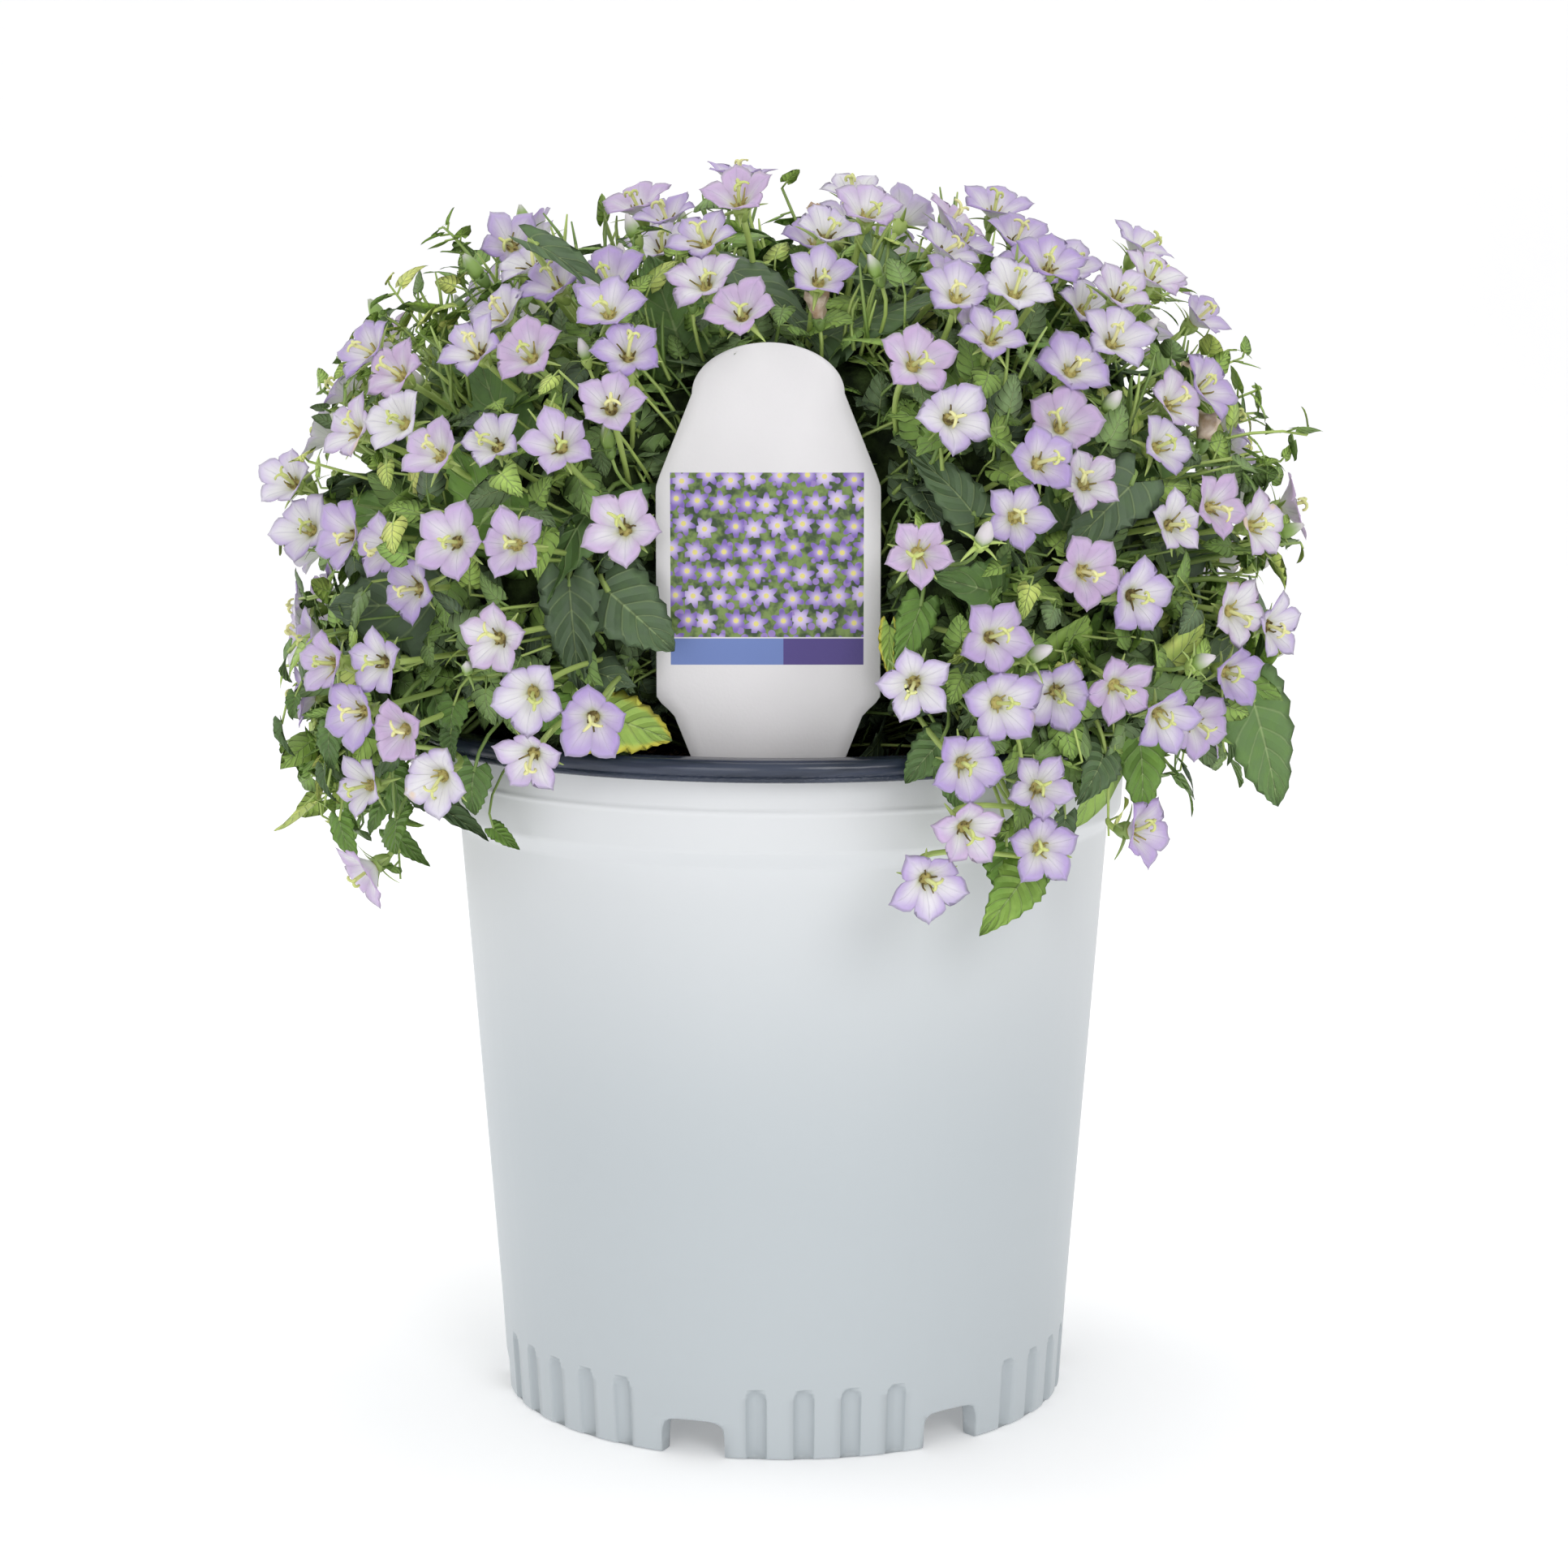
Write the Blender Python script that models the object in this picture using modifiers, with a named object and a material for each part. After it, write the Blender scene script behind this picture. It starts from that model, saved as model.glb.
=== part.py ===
"""A Carpathian bellflower in a round nursery pot, with its stake label.

The pot is one turned shell with a rolled rim, a collar and a fluted, notched foot. The soil fills it.
The plant is one green body: a leafy dome on a crown that stands in a hole in the soil, with stems, leaves
and cups for the flowers. The flowers touch in small groups, and each group is a body of its own.

Run it with: blender --background --python part.py
Units are metres, +Z is up, -Y is the front, and the origin is under the centre of the pot's foot.
"""

import math
import random
from collections import namedtuple

import bmesh
import bpy
from mathutils import Matrix, Vector
from mathutils.bvhtree import BVHTree

mm = 0.001
UP = Vector((0, 0, 1))
GAP = 0.3 * mm  # between pieces that touch
CLEARANCE = 0.12 * mm  # the least that other pieces keep
SHARP_ANGLE = math.radians(35)

# Pot: a trade one-gallon nursery pot
POT_HEIGHT = 171 * mm
RIM_RADIUS = 92 * mm
RIM_BAND = 5.2 * mm
RIM_BORE = 84 * mm
COLLAR_RADIUS = 85 * mm
COLLAR_FOOT = 149 * mm
WALL_TOP_RADIUS = 81 * mm
WALL_LOW_RADIUS = 72 * mm
WALL_LOW = 24 * mm
FOOT_RADIUS = 70.5 * mm
FOOT_BORE = 66 * mm
WALL = 1.6 * mm
FLOOR_UNDER = 9.5 * mm
FLOOR_THICKNESS = 2 * mm
POT_STEPS = 32

# Foot: three narrow and three wide feet in turn, with a notch after each
FEET_TURN = math.radians(8.4)  # azimuth of the front foot's middle
NARROW_FOOT = math.radians(40)
WIDE_FOOT = math.radians(54)
NOTCH_ANGLE = math.radians(13)
NOTCH_HEIGHT = 9 * mm
NARROW_FLUTES = 4
WIDE_FLUTES = 5
FLUTE_PITCH = math.radians(9.2)
FLUTE_HEIGHT = 17 * mm
FLUTE_RADIUS = 3.4 * mm
FLUTE_DEPTH = 1.3 * mm
DRAIN_RADIUS = 4.5 * mm
DRAIN_CIRCLE = 57 * mm

# Soil
SOIL_LEVEL = 160.5 * mm
SOIL_BUMP = 1.3 * mm
SOIL_STEPS = 22

# Stake label
LABEL_X = -3.6 * mm
LABEL_Y = -70 * mm
LABEL_THICKNESS = 0.8 * mm
LABEL_TOP = 264.6 * mm
LABEL_SHOULDER = 232.5 * mm
LABEL_WAIST = 182.7 * mm
LABEL_NECK = 179 * mm
LABEL_TIP = 118 * mm
LABEL_HALF_WIDTH = 25.9 * mm
LABEL_ARCH_HALF_WIDTH = 17.5 * mm
LABEL_ARCH_FOOT = 253 * mm
SLOT_CLEARANCE = 0.35 * mm

# Plant: a flattened dome of leaves over the rim
DOME_RADIUS = 121 * mm
DOME_RISE = 98 * mm
DOME_DROP = 30 * mm
DOME_LEVEL = 198 * mm
DOME_POWER = 0.87
DOME_TUCK = 2.4  # how much flatter than its outline the light falls on the dome's under side
CORE_SCALE = 0.8
CORE_LUMP = 2.5 * mm
DEEP = 0.62  # share of the way out at which stalks start, well inside the core
STALK_FLOOR = POT_HEIGHT + 8 * mm
BESIDE_LABEL = 16 * mm
CROWN_RADIUS = 8 * mm
CROWN_FLARE = 1.06
CROWN_SIDES = 12
CROWN_FOOT = 149 * mm
CROWN_CLEARANCE = 0.8 * mm
GOLDEN_ANGLE = math.radians(137.508)

# Bay in the dome, behind the label
BAY_DEPTH = -60 * mm
BAY_HALF_WIDTH = 29 * mm
BAY_TOP = 266 * mm
BAY_FADE = 17 * mm

# Flowers
BLOOM_RADIUS = 9.7 * mm
BLOOM_SPREAD = 0.09
BLOOM_TOP = 300 * mm
BLOOM_TIP_HEIGHT = 0.62
BLOOM_NOTCH_HEIGHT = 0.5
BLOOM_NOTCH = 0.69
BLOOM_THICKNESS = 1.3 * mm
LOBES = 5
BACK_GROUPS = 17
BACK_SECTOR = math.radians(215)
BACK_LOW = math.radians(-30)
BACK_SIZES = (5, 4, 5, 4)
GROUP_PITCH = 1.45
GROUP_TRIES = 14
MEMBER_GAP = 0.88
SPOKES = (0, 2, 3, 4, 1)
MEMBER_LEAN = (0.05, 0.2)
MEMBER_DROP = (-0.6 * mm, 1.2 * mm)
FACE_HEIGHT = 0.4  # share of the radius at which a flower is widest
FRONT_TURN = Vector((0, -0.55, 0.1))  # added to the dome's normal at the front
BACK_TURN = 0.5
BACK_LIFT = 0.4
SHIFT_STEP = 1.2 * mm
FIRST_LEAN = 0.25
CORE_MARGIN = 4 * mm

# Groups of flowers on the front of the dome: across from the middle, height, flowers
FRONT_GROUPS = (
    (-28, 296, 3), (17, 297, 3), (58, 288, 5), (-54, 279, 4), (-18, 279, 4), (8, 281, 3), (39, 274, 4),
    (92, 277, 3), (-70, 262, 3), (-35, 262, 4), (29, 261, 4), (68, 260, 6), (-88, 246, 4), (-67, 243, 4),
    (57, 239, 5), (89, 242, 3), (-94, 219, 3), (-60, 221, 4), (98, 226, 3), (29, 220, 1), (-35, 225, 1),
    (69, 215, 3), (-64, 200, 4), (-91, 192, 5), (46, 201, 5), (31, 192, 2), (106, 202, 4), (76, 188, 3),
)
CUP_RADIUS = 2 * mm
NECK = 5 * mm
STRAIGHT = math.radians(42)
HANGING_OUT = 6 * mm
STALK_RADIUS = 0.75 * mm

# Leaves: half outline as (share of length, share of length to the side), stalk first
LEAF_HALF = ((0.36, 0.03), (0.29, 0.22), (0.5, 0.34), (0.61, 0.24), (0.74, 0.26))
LEAF_LENGTH = 30 * mm
LEAF_TILT = (0.4, 0.95)
LEAF_SPREAD = 0.2
LEAF_THICKNESS = 1.6 * mm
LEAF_MIDDLE = 0.54
LEAF_SINK = 0.033
LEAVES = 112
LEAF_LOW = math.radians(-24)
LEAF_TRIES = 14
LEAF_FRONT_WIDTH = 0.76  # share of the length that the widest leaf points span
FIRST_LEAF_TURN = 1.3

# Shoots that trail over the rim: azimuth in degrees, how far the tip hangs under the dome's level
TRAILING = (
    (-101, 38), (-84, 52), (-57, 60), (27, 54), (41, 46), (84, 34), (112, 48), (147, 36), (176, 56),
    (208, 40), (236, 52),
)
TRAIL_STATIONS = ((60 * mm, 186 * mm), (94 * mm, 188 * mm), (108 * mm, 175 * mm))
TRAIL_END = 107 * mm
TRAIL_DRIFT = 0.025
TRAIL_RADIUS = 0.95 * mm
TRAIL_TAPER = (1.3, 1.2, 1.1, 0.7)
TRAIL_LEAF_PLACES = (0.3, 1.15, 1.6, 1.97)  # stretch of the shoot and share of it
TRAIL_LEAF = 14 * mm

# Shoots that stand out of the dome's sides
SHOOTS = 22
SHOOT_LENGTH = 36 * mm
SHOOT_RADIUS = 0.75 * mm
SHOOT_LEAF = 9.5 * mm
SHOOT_LIFT = (-8, 62)
SHOOT_BOW = 0.03
SHOOT_LEAF_PLACES = (0.68, 0.97)

Bloom = namedtuple("Bloom", "base axis roll radius group start")
Leaf = namedtuple("Leaf", "base along face length")
Path = namedtuple("Path", "points radii")


def bloom_at(x, y, z, azimuth, lift, group, mate=None):
    """A flower placed by hand: base in millimetres, where it faces in degrees, and the lobe of a mate.

    Lobe 0 hangs lowest, and the others follow it round.
    """
    return (Vector((x, y, z)) * mm, facing(math.radians(azimuth), math.radians(lift)), group, mate)


def facing(azimuth, lift):
    """Unit vector: azimuth is round from the front, lift is above level."""
    out = math.cos(lift)
    return Vector((out * math.sin(azimuth), -out * math.cos(azimuth), math.sin(lift)))


MARKED_BLOOMS = (
    bloom_at(-11, 4, 300, 20, 80, "top"),
    bloom_at(-66, -14, 286, 5, 25, "shoulder_left"),
    bloom_at(-114, -24, 218, -30, 20, "far_left", 3),
    bloom_at(121, -14, 223, 84, 14, "far_right"),
)

# Flowers on the trailing shoots: number of the shoot, height in millimetres, where it faces, lobe of a mate
HANGING_BLOOMS = (
    (2, 161, -40, 6, None),
    (2, 142, -62, -30, None),
    (3, 166, 12, 12, 0),
    (4, 154, 52, 2, None),
    (6, 160, 110, 8, None),
    (8, 158, 176, 4, 1),
    (10, 158, 236, 0, None),
)

# Large leaves placed by hand: base, tip and width in millimetres, and which way the upper side faces
MARKED_LEAVES = (
    ((-42, -68, 212), (-26, -84, 188), 22, (-10, 25)),
    ((-53, -70, 219), (-51, -88, 189), 15, (0, 20)),
    ((-43, -72, 182), (-27, -84, 178), 16, (-10, 40)),
    ((-56, -78, 184), (-46, -90, 175), 12, (-10, 45)),
    ((108, -24, 181), (121, -30, 152), 21, (30, 25)),
    ((84, -52, 186), (86, -66, 155), 14, (25, 20)),
    ((46, -74, 243), (49, -92, 219), 17, (5, 25)),
    ((72, -66, 222), (70, -88, 198), 19, (20, 25)),
    ((-14, -48, 281), (8, -66, 277), 13, (0, 60)),
)


def level(azimuth, radius, z):
    """The point at an azimuth from the front, a radius and a height."""
    return Vector((radius * math.sin(azimuth), -radius * math.cos(azimuth), z))


def smooth_step(value):
    value = min(1.0, max(0.0, value))
    return value * value * (3 - 2 * value)


def in_bay(point):
    """The point, moved back where it would stand in front of the label or on it."""
    side = smooth_step((BAY_HALF_WIDTH + BAY_FADE - abs(point.x - LABEL_X)) / BAY_FADE)
    below = smooth_step((BAY_TOP + BAY_FADE - point.z) / BAY_FADE)
    share = side * below
    y = point.y
    if y < BAY_DEPTH:
        y = BAY_DEPTH * share + y * (1 - share)
    return Vector((point.x, y, point.z))


def dome_point(azimuth, lift, scale=1.0):
    """Point on the leafy dome, a superellipse turned about the pot's axis."""
    out = DOME_RADIUS * scale * math.cos(lift) ** DOME_POWER
    height = abs(math.sin(lift)) ** DOME_POWER
    height *= DOME_RISE if lift > 0 else -DOME_DROP
    flat = Vector((out * math.sin(azimuth), -out * math.cos(azimuth), DOME_LEVEL + height * scale))
    return in_bay(flat)


def dome_normal(point):
    rise = DOME_RISE if point.z > DOME_LEVEL else DOME_TUCK * DOME_DROP
    up = (point.z - DOME_LEVEL) / rise**2
    return Vector((point.x / DOME_RADIUS**2, point.y / DOME_RADIUS**2, up)).normalized()


def scaled(point, scale):
    """The point drawn in towards the middle of the dome."""
    middle = Vector((0, 0, DOME_LEVEL))
    return middle + (point - middle) * scale


def stalk_start(base):
    """Where the stalk of a flower or leaf starts, inside the core. Beside the label it runs straight out."""
    inner = scaled(base, DEEP)
    inner.z = max(inner.z, STALK_FLOOR)
    if base.y < LABEL_Y and abs(base.x - LABEL_X) < LABEL_HALF_WIDTH + BESIDE_LABEL:
        inner.x = base.x
        inner.y *= 0.7
    return in_bay(inner)


def in_core(point, margin):
    """Whether a point lies in the core, or within the margin of it."""
    scale = CORE_SCALE + margin / DOME_RADIUS
    rise = DOME_RISE if point.z > DOME_LEVEL else DOME_DROP
    height = abs(point.z - DOME_LEVEL) / (rise * scale)
    if height >= 1:
        return False
    out = DOME_RADIUS * scale * (1 - height ** (2 / DOME_POWER)) ** (DOME_POWER / 2)
    if point.xy.length >= out:
        return False
    front = in_bay(Vector((point.x, -math.sqrt(out * out - point.x**2), point.z)))
    return point.y > front.y - margin


def trailing_paths():
    """Centre lines of the shoots that run out over the rim and hang outside it."""
    paths = []
    for number, (azimuth, drop) in enumerate(TRAILING):
        draw = random.Random(f"trail {number}")
        turn = math.radians(azimuth)
        drift = draw.uniform(-TRAIL_DRIFT, TRAIL_DRIFT)
        end = (TRAIL_END + draw.uniform(-2, 2) * mm, DOME_LEVEL - drop * mm)
        stations = (*TRAIL_STATIONS, end)
        paths.append([level(turn + drift * k, radius, z) for k, (radius, z) in enumerate(stations)])
    return paths


def on_trail(path, height):
    """The point of a trailing shoot's last stretch at a height."""
    start, end = path[-2:]
    return start.lerp(end, (start.z - height) / (start.z - end.z))


def nearest_on(paths, point, first=1):
    """The nearest point on the trailing shoots, from their stretch of that number on."""
    best = None
    for path in paths:
        for start, end in zip(path[first:-1], path[first + 1 :]):
            line = end - start
            share = min(1.0, max(0.0, (point - start).dot(line) / line.length_squared))
            found = start + line * share
            if best is None or (found - point).length < (best - point).length:
                best = found
    return best


def behind_label(point, margin):
    low_enough = point.z < LABEL_TOP + margin
    return low_enough and point.y < 0 and abs(point.x - LABEL_X) < LABEL_HALF_WIDTH + margin


def plan_blooms(trails):
    """Every flower: some placed by hand, then groups that grow by turns round their first flowers."""
    blooms = []
    for base, axis, group, mate in MARKED_BLOOMS:
        draw = random.Random(group)
        start = stalk_start(base)
        blooms.append(Bloom(base, axis, roll_to(axis, -UP), bloom_radius(draw), group, start))
        if mate is not None:
            blooms.append(beside(blooms[-1], mate, draw))
    for number, (trail, height, azimuth, lift, mate) in enumerate(HANGING_BLOOMS):
        group = f"hanging {number}"
        draw = random.Random(group)
        start = on_trail(trails[trail], height * mm)
        base = start + Vector((start.x, start.y, 0)).normalized() * HANGING_OUT
        axis = facing(math.radians(azimuth), math.radians(lift))
        blooms.append(Bloom(base, axis, roll_to(axis, -UP), bloom_radius(draw), group, start))
        if mate is not None:
            bloom = beside(blooms[-1], mate, draw)
            blooms.append(bloom._replace(start=nearest_on(trails, bloom.base)))
    groups = []
    for number, (across, height, size) in enumerate(FRONT_GROUPS):
        middle = front_point(across * mm, height * mm)
        groups.append((f"front {number}", middle, FRONT_TURN, size))
    for number in range(BACK_GROUPS):
        share = (number + 0.5) / BACK_GROUPS
        lift = math.asin(1 + (math.sin(BACK_LOW) - 1) * share)
        azimuth = math.pi + (number * GOLDEN_ANGLE / math.tau % 1 - 0.5) * BACK_SECTOR
        size = BACK_SIZES[number % len(BACK_SIZES)]
        turn = facing(azimuth, BACK_LIFT) * BACK_TURN
        groups.append((f"back {number}", dome_point(azimuth, lift), turn, size))
    for name, middle, turn, _ in groups:
        blooms.extend(first_bloom(name, middle, turn, blooms, trails))
    for count in range(1, max(size for *_, size in groups)):
        for name, _, _, size in groups:
            members = [bloom for bloom in blooms if bloom.group == name]
            if members and count < size:
                blooms.extend(next_bloom(members, blooms, trails))
    return blooms


def roll_to(axis, direction):
    """The roll about the axis that turns the first lobe to the direction."""
    side = axis.orthogonal().normalized()
    flat = direction - axis * direction.dot(axis)
    return math.atan2(axis.dot(side.cross(flat)), side.dot(flat))


def bloom_radius(draw):
    return BLOOM_RADIUS * (1 + draw.uniform(-BLOOM_SPREAD, BLOOM_SPREAD))


def first_bloom(name, middle, turn, blooms, trails):
    """The first flower of a group, shifted until it is clear."""
    for attempt in range(GROUP_TRIES):
        draw = random.Random(f"{name} {attempt}")
        shift = Vector([draw.uniform(-1, 1) for _ in range(3)]) * (SHIFT_STEP * attempt)
        lean = Vector([draw.uniform(-1, 1) for _ in range(3)])
        place = scaled(middle + shift, draw.uniform(0.95, 1.0))
        axis = (dome_normal(place) + turn + lean * FIRST_LEAN).normalized()
        roll = draw.uniform(0, math.tau)
        bloom = Bloom(place, axis, roll, bloom_radius(draw), name, stalk_start(place))
        if bloom_fits(bloom, blooms, trails):
            return [bloom]
    return []


def next_bloom(members, blooms, trails):
    """A flower beside one of its group, with a lobe turned to it, where there is room."""
    for parent in members:
        for spoke in SPOKES:
            draw = random.Random(f"{parent.group} {len(members)} {spoke}")
            bloom = beside(parent, spoke, draw)
            others = [other for other in members if other is not parent]
            if bloom_fits(bloom, blooms, trails) and is_apart(bloom, others, MEMBER_GAP):
                return [bloom]
    return []


def beside(parent, spoke, draw):
    side = parent.axis.orthogonal().normalized()
    out = Matrix.Rotation(parent.roll + spoke * math.tau / LOBES, 3, parent.axis) @ side
    lean = draw.uniform(*MEMBER_LEAN)
    radius = bloom_radius(draw)
    pitch = GROUP_PITCH * 0.5 * (radius + parent.radius)
    lowered = draw.uniform(*MEMBER_DROP) + 0.3 * lean * radius
    base = parent.base + out * pitch - parent.axis * lowered
    axis = (parent.axis + out * lean).normalized()
    return Bloom(base, axis, roll_to(axis, -out), radius, parent.group, stalk_start(base))


def is_apart(bloom, others, share):
    """Whether the flowers' middles keep a share of their two radii between them."""
    middle = bloom.base + bloom.axis * (FACE_HEIGHT * bloom.radius)
    for other in others:
        away = middle - other.base - other.axis * (FACE_HEIGHT * other.radius)
        if away.length < share * (bloom.radius + other.radius) + GAP:
            return False
    return True


def bloom_fits(bloom, blooms, trails):
    """Whether the flower keeps off the other groups, the label, the pot and the trailing shoots."""
    reach = bloom.radius
    middle = bloom.base + bloom.axis * (0.3 * reach)
    if (nearest_on(trails, middle, first=0) - middle).length < 0.9 * reach:
        return False
    if behind_label(bloom.base, 0.5 * reach) and bloom.base.y < BAY_DEPTH + reach:
        return False
    if in_core(bloom.base, CORE_MARGIN) or in_core(middle, CORE_MARGIN + 1 * mm):
        return False
    near_pot = bloom.base.xy.length < RIM_RADIUS + reach
    if near_pot and bloom.base.z < POT_HEIGHT + 0.9 * reach:
        return False
    if bloom.base.xy.length > DOME_RADIUS * 1.03 or bloom.base.z > BLOOM_TOP:
        return False
    return is_apart(bloom, [other for other in blooms if other.group != bloom.group], 1)


def front_point(across, height):
    """The dome's surface at a place seen from the front."""
    rise = DOME_RISE if height > DOME_LEVEL else DOME_DROP
    level = min(1, abs(height - DOME_LEVEL) / rise) ** (2 / DOME_POWER)
    out = DOME_RADIUS * (1 - level) ** (DOME_POWER / 2)
    return Vector((across, -math.sqrt(max(0, out * out - across * across)), height))


def leaf_points(leaf):
    """Points that stand for a leaf in the clearance tests."""
    side = leaf.face.cross(leaf.along)
    shares = ((0.3, 0), (0.3, 0.3), (0.3, -0.3), (0.55, 0.3), (0.55, -0.3), (0.75, 0), (1, 0))
    return [
        leaf.base + leaf.along * (leaf.length * share) + side * (leaf.length * across)
        for share, across in shares
    ]


def leaf_is_clear(leaf, blooms, reach=1.04):
    """Whether a leaf keeps off the flowers, the pot, the label and the outside of the dome."""
    for point in leaf_points(leaf):
        out = point.xy.length
        if point.z < POT_HEIGHT + 3 * mm and out < RIM_RADIUS + 4 * mm:
            return False
        if point.y < BAY_DEPTH - 3 * mm and behind_label(point, 3 * mm):
            return False
        if math.hypot(out / DOME_RADIUS, (point.z - DOME_LEVEL) / (DOME_RISE * 1.04)) > reach:
            return False
        for bloom in blooms:
            away = point - bloom.base
            if away.length_squared > (2.2 * bloom.radius) ** 2:
                continue
            ahead = away.dot(bloom.axis)
            across = (away - bloom.axis * ahead).length
            if -0.12 * bloom.radius < ahead < 1.5 * bloom.radius and across < 1.08 * bloom.radius:
                return False
    return True


def leaf_choices(number, blooms):
    """Clear ways to turn one of the leaves that are spread over the core by the golden angle."""
    share = (number + 0.5) / LEAVES
    lift = math.asin(1 + (math.sin(LEAF_LOW) - 1) * share)
    base = dome_point(FIRST_LEAF_TURN + number * GOLDEN_ANGLE, lift, CORE_SCALE - LEAF_SINK)
    normal = dome_normal(base)
    choices = []
    for attempt in range(LEAF_TRIES):
        draw = random.Random(f"leaf {number} {attempt}")
        tilt = draw.uniform(*LEAF_TILT)
        length = LEAF_LENGTH * (1 + draw.uniform(-LEAF_SPREAD, LEAF_SPREAD))
        flat = Matrix.Rotation(draw.uniform(0, math.tau), 3, normal) @ normal.orthogonal().normalized()
        along = (normal * math.cos(tilt) + flat * math.sin(tilt)).normalized()
        face = (normal - along * normal.dot(along)).normalized()
        leaf = Leaf(base, along, face, length)
        if leaf_is_clear(leaf, blooms):
            choices.append(leaf)
    return choices


def plan_shoots(blooms):
    """Thin shoots that stand out of the dome's sides, with small leaves on them."""
    paths, leaves = [], []
    for number in range(SHOOTS):
        draw = random.Random(f"shoot {number}")
        azimuth = number * GOLDEN_ANGLE + 0.6
        lift = math.radians(draw.uniform(*SHOOT_LIFT))
        start = dome_point(azimuth, lift, CORE_SCALE - LEAF_SINK)
        normal = dome_normal(start)
        lean = Vector([draw.uniform(-1, 1) for _ in range(3)])
        along = (normal + lean * 0.3 + UP * 0.15).normalized()
        length = SHOOT_LENGTH * draw.uniform(0.8, 1.05)
        middle = start + along * (0.55 * length) + UP * (SHOOT_BOW * length)
        end = start + along * length
        probe = Leaf(start + along * 0.5 * length, along, along.orthogonal(), 0.5 * length)
        if not leaf_is_clear(probe, blooms, reach=1.2):
            continue
        paths.append(Path([start, middle, end], [SHOOT_RADIUS, SHOOT_RADIUS, 0.6 * SHOOT_RADIUS]))
        side = along.orthogonal().normalized()
        for step, share in enumerate(SHOOT_LEAF_PLACES):
            base = start.lerp(end, share) + UP * (SHOOT_BOW * length * (1 - share))
            out = Matrix.Rotation(step * GOLDEN_ANGLE + number, 3, along) @ side
            grow = (out + along * 0.5).normalized()
            face = (along - grow * along.dot(grow)).normalized()
            leaf = Leaf(base, grow, face, SHOOT_LEAF * draw.uniform(0.85, 1.2))
            if leaf_is_clear(leaf, blooms, reach=1.25):
                leaves.append(leaf)
    return paths, leaves


def plan_trail_leaves(trails, blooms):
    """Leaves in turn on both sides of each trailing shoot."""
    leaves = []
    for number, path in enumerate(trails):
        for step, share in enumerate(TRAIL_LEAF_PLACES):
            draw = random.Random(f"trail leaf {number} {step}")
            index = int(share)
            base = path[index + 1].lerp(path[index + 2], share - index)
            out = Vector((base.x, base.y, 0)).normalized()
            side = out.cross(UP) * (1 if step % 2 else -1)
            fall = draw.uniform(0.2, 0.9)
            along = (out * draw.uniform(0.35, 0.8) + side * draw.uniform(0.6, 1) - UP * fall).normalized()
            face = out + UP * 0.7
            face = (face - along * face.dot(along)).normalized()
            leaf = Leaf(base, along, face, TRAIL_LEAF * draw.uniform(0.8, 1.15))
            if leaf_is_clear(leaf, blooms, reach=1.3):
                leaves.append(leaf)
    return leaves


def clear_scene():
    for obj in list(bpy.data.objects):
        bpy.data.objects.remove(obj)


def new_collection(name):
    made = bpy.data.collections.new(name)
    bpy.context.scene.collection.children.link(made)
    return made


def new_material(name, color, roughness):
    made = bpy.data.materials.new(name)
    made.use_nodes = True
    shader = made.node_tree.nodes["Principled BSDF"]
    shader.inputs["Base Color"].default_value = (*color, 1)
    shader.inputs["Roughness"].default_value = roughness
    shader.inputs["Metallic"].default_value = 0
    return made


def object_of(name, bm, collection, material=None):
    mesh = bpy.data.meshes.new(name)
    bm.to_mesh(mesh)
    bm.free()
    made = bpy.data.objects.new(name, mesh)
    collection.objects.link(made)
    if material:
        mesh.materials.append(material)
    return made


def as_mesh(obj, name, collection, material):
    """A mesh copy of the evaluated object, with the object removed."""
    bpy.context.view_layer.update()
    graph = bpy.context.evaluated_depsgraph_get()
    mesh = bpy.data.meshes.new_from_object(obj.evaluated_get(graph))
    bm = bmesh.new()
    bm.from_mesh(mesh)
    bm.transform(obj.matrix_world)
    bmesh.ops.remove_doubles(bm, verts=bm.verts, dist=0.002 * mm)
    bpy.data.meshes.remove(mesh)
    bpy.data.objects.remove(obj)
    return object_of(name, bm, collection, material)


def turned(name, profile, steps, collection, material):
    """A profile of (radius, height) turned about Z."""
    mesh = bpy.data.meshes.new(name)
    points = [(r, 0, z) for r, z in profile]
    mesh.from_pydata(points, [(k, k + 1) for k in range(len(points) - 1)], [])
    made = bpy.data.objects.new(name, mesh)
    collection.objects.link(made)
    screw = made.modifiers.new("Turn", "SCREW")
    screw.steps = screw.render_steps = steps
    screw.use_merge_vertices = True
    screw.merge_threshold = 0.00001
    screw.use_smooth_shade = False
    return as_mesh(made, name, collection, material)


def shade_round(obj):
    obj.data.shade_smooth()
    obj.data.set_sharp_from_angle(angle=SHARP_ANGLE)


def cut(obj, cutters):
    """Takes the cutters' shapes out of the object, in one Boolean."""
    collection = new_collection(f"{obj.name} cutters")
    for bm in cutters:
        cutter = object_of(f"{obj.name} cutter", bm, collection)
        cutter.hide_render = True
        cutter.display_type = "WIRE"
    modifier = obj.modifiers.new("Cut", "BOOLEAN")
    modifier.operation = "DIFFERENCE"
    modifier.operand_type = "COLLECTION"
    modifier.collection = collection
    modifier.solver = "EXACT"


def feet():
    """Each foot as (azimuth of its middle, its angle, number of flutes)."""
    found = []
    for third in range(3):
        middle = FEET_TURN + third * math.tau / 3
        found.append((middle, NARROW_FOOT, NARROW_FLUTES))
        found.append((middle + math.pi / 3, WIDE_FOOT, WIDE_FLUTES))
    return found


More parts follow.
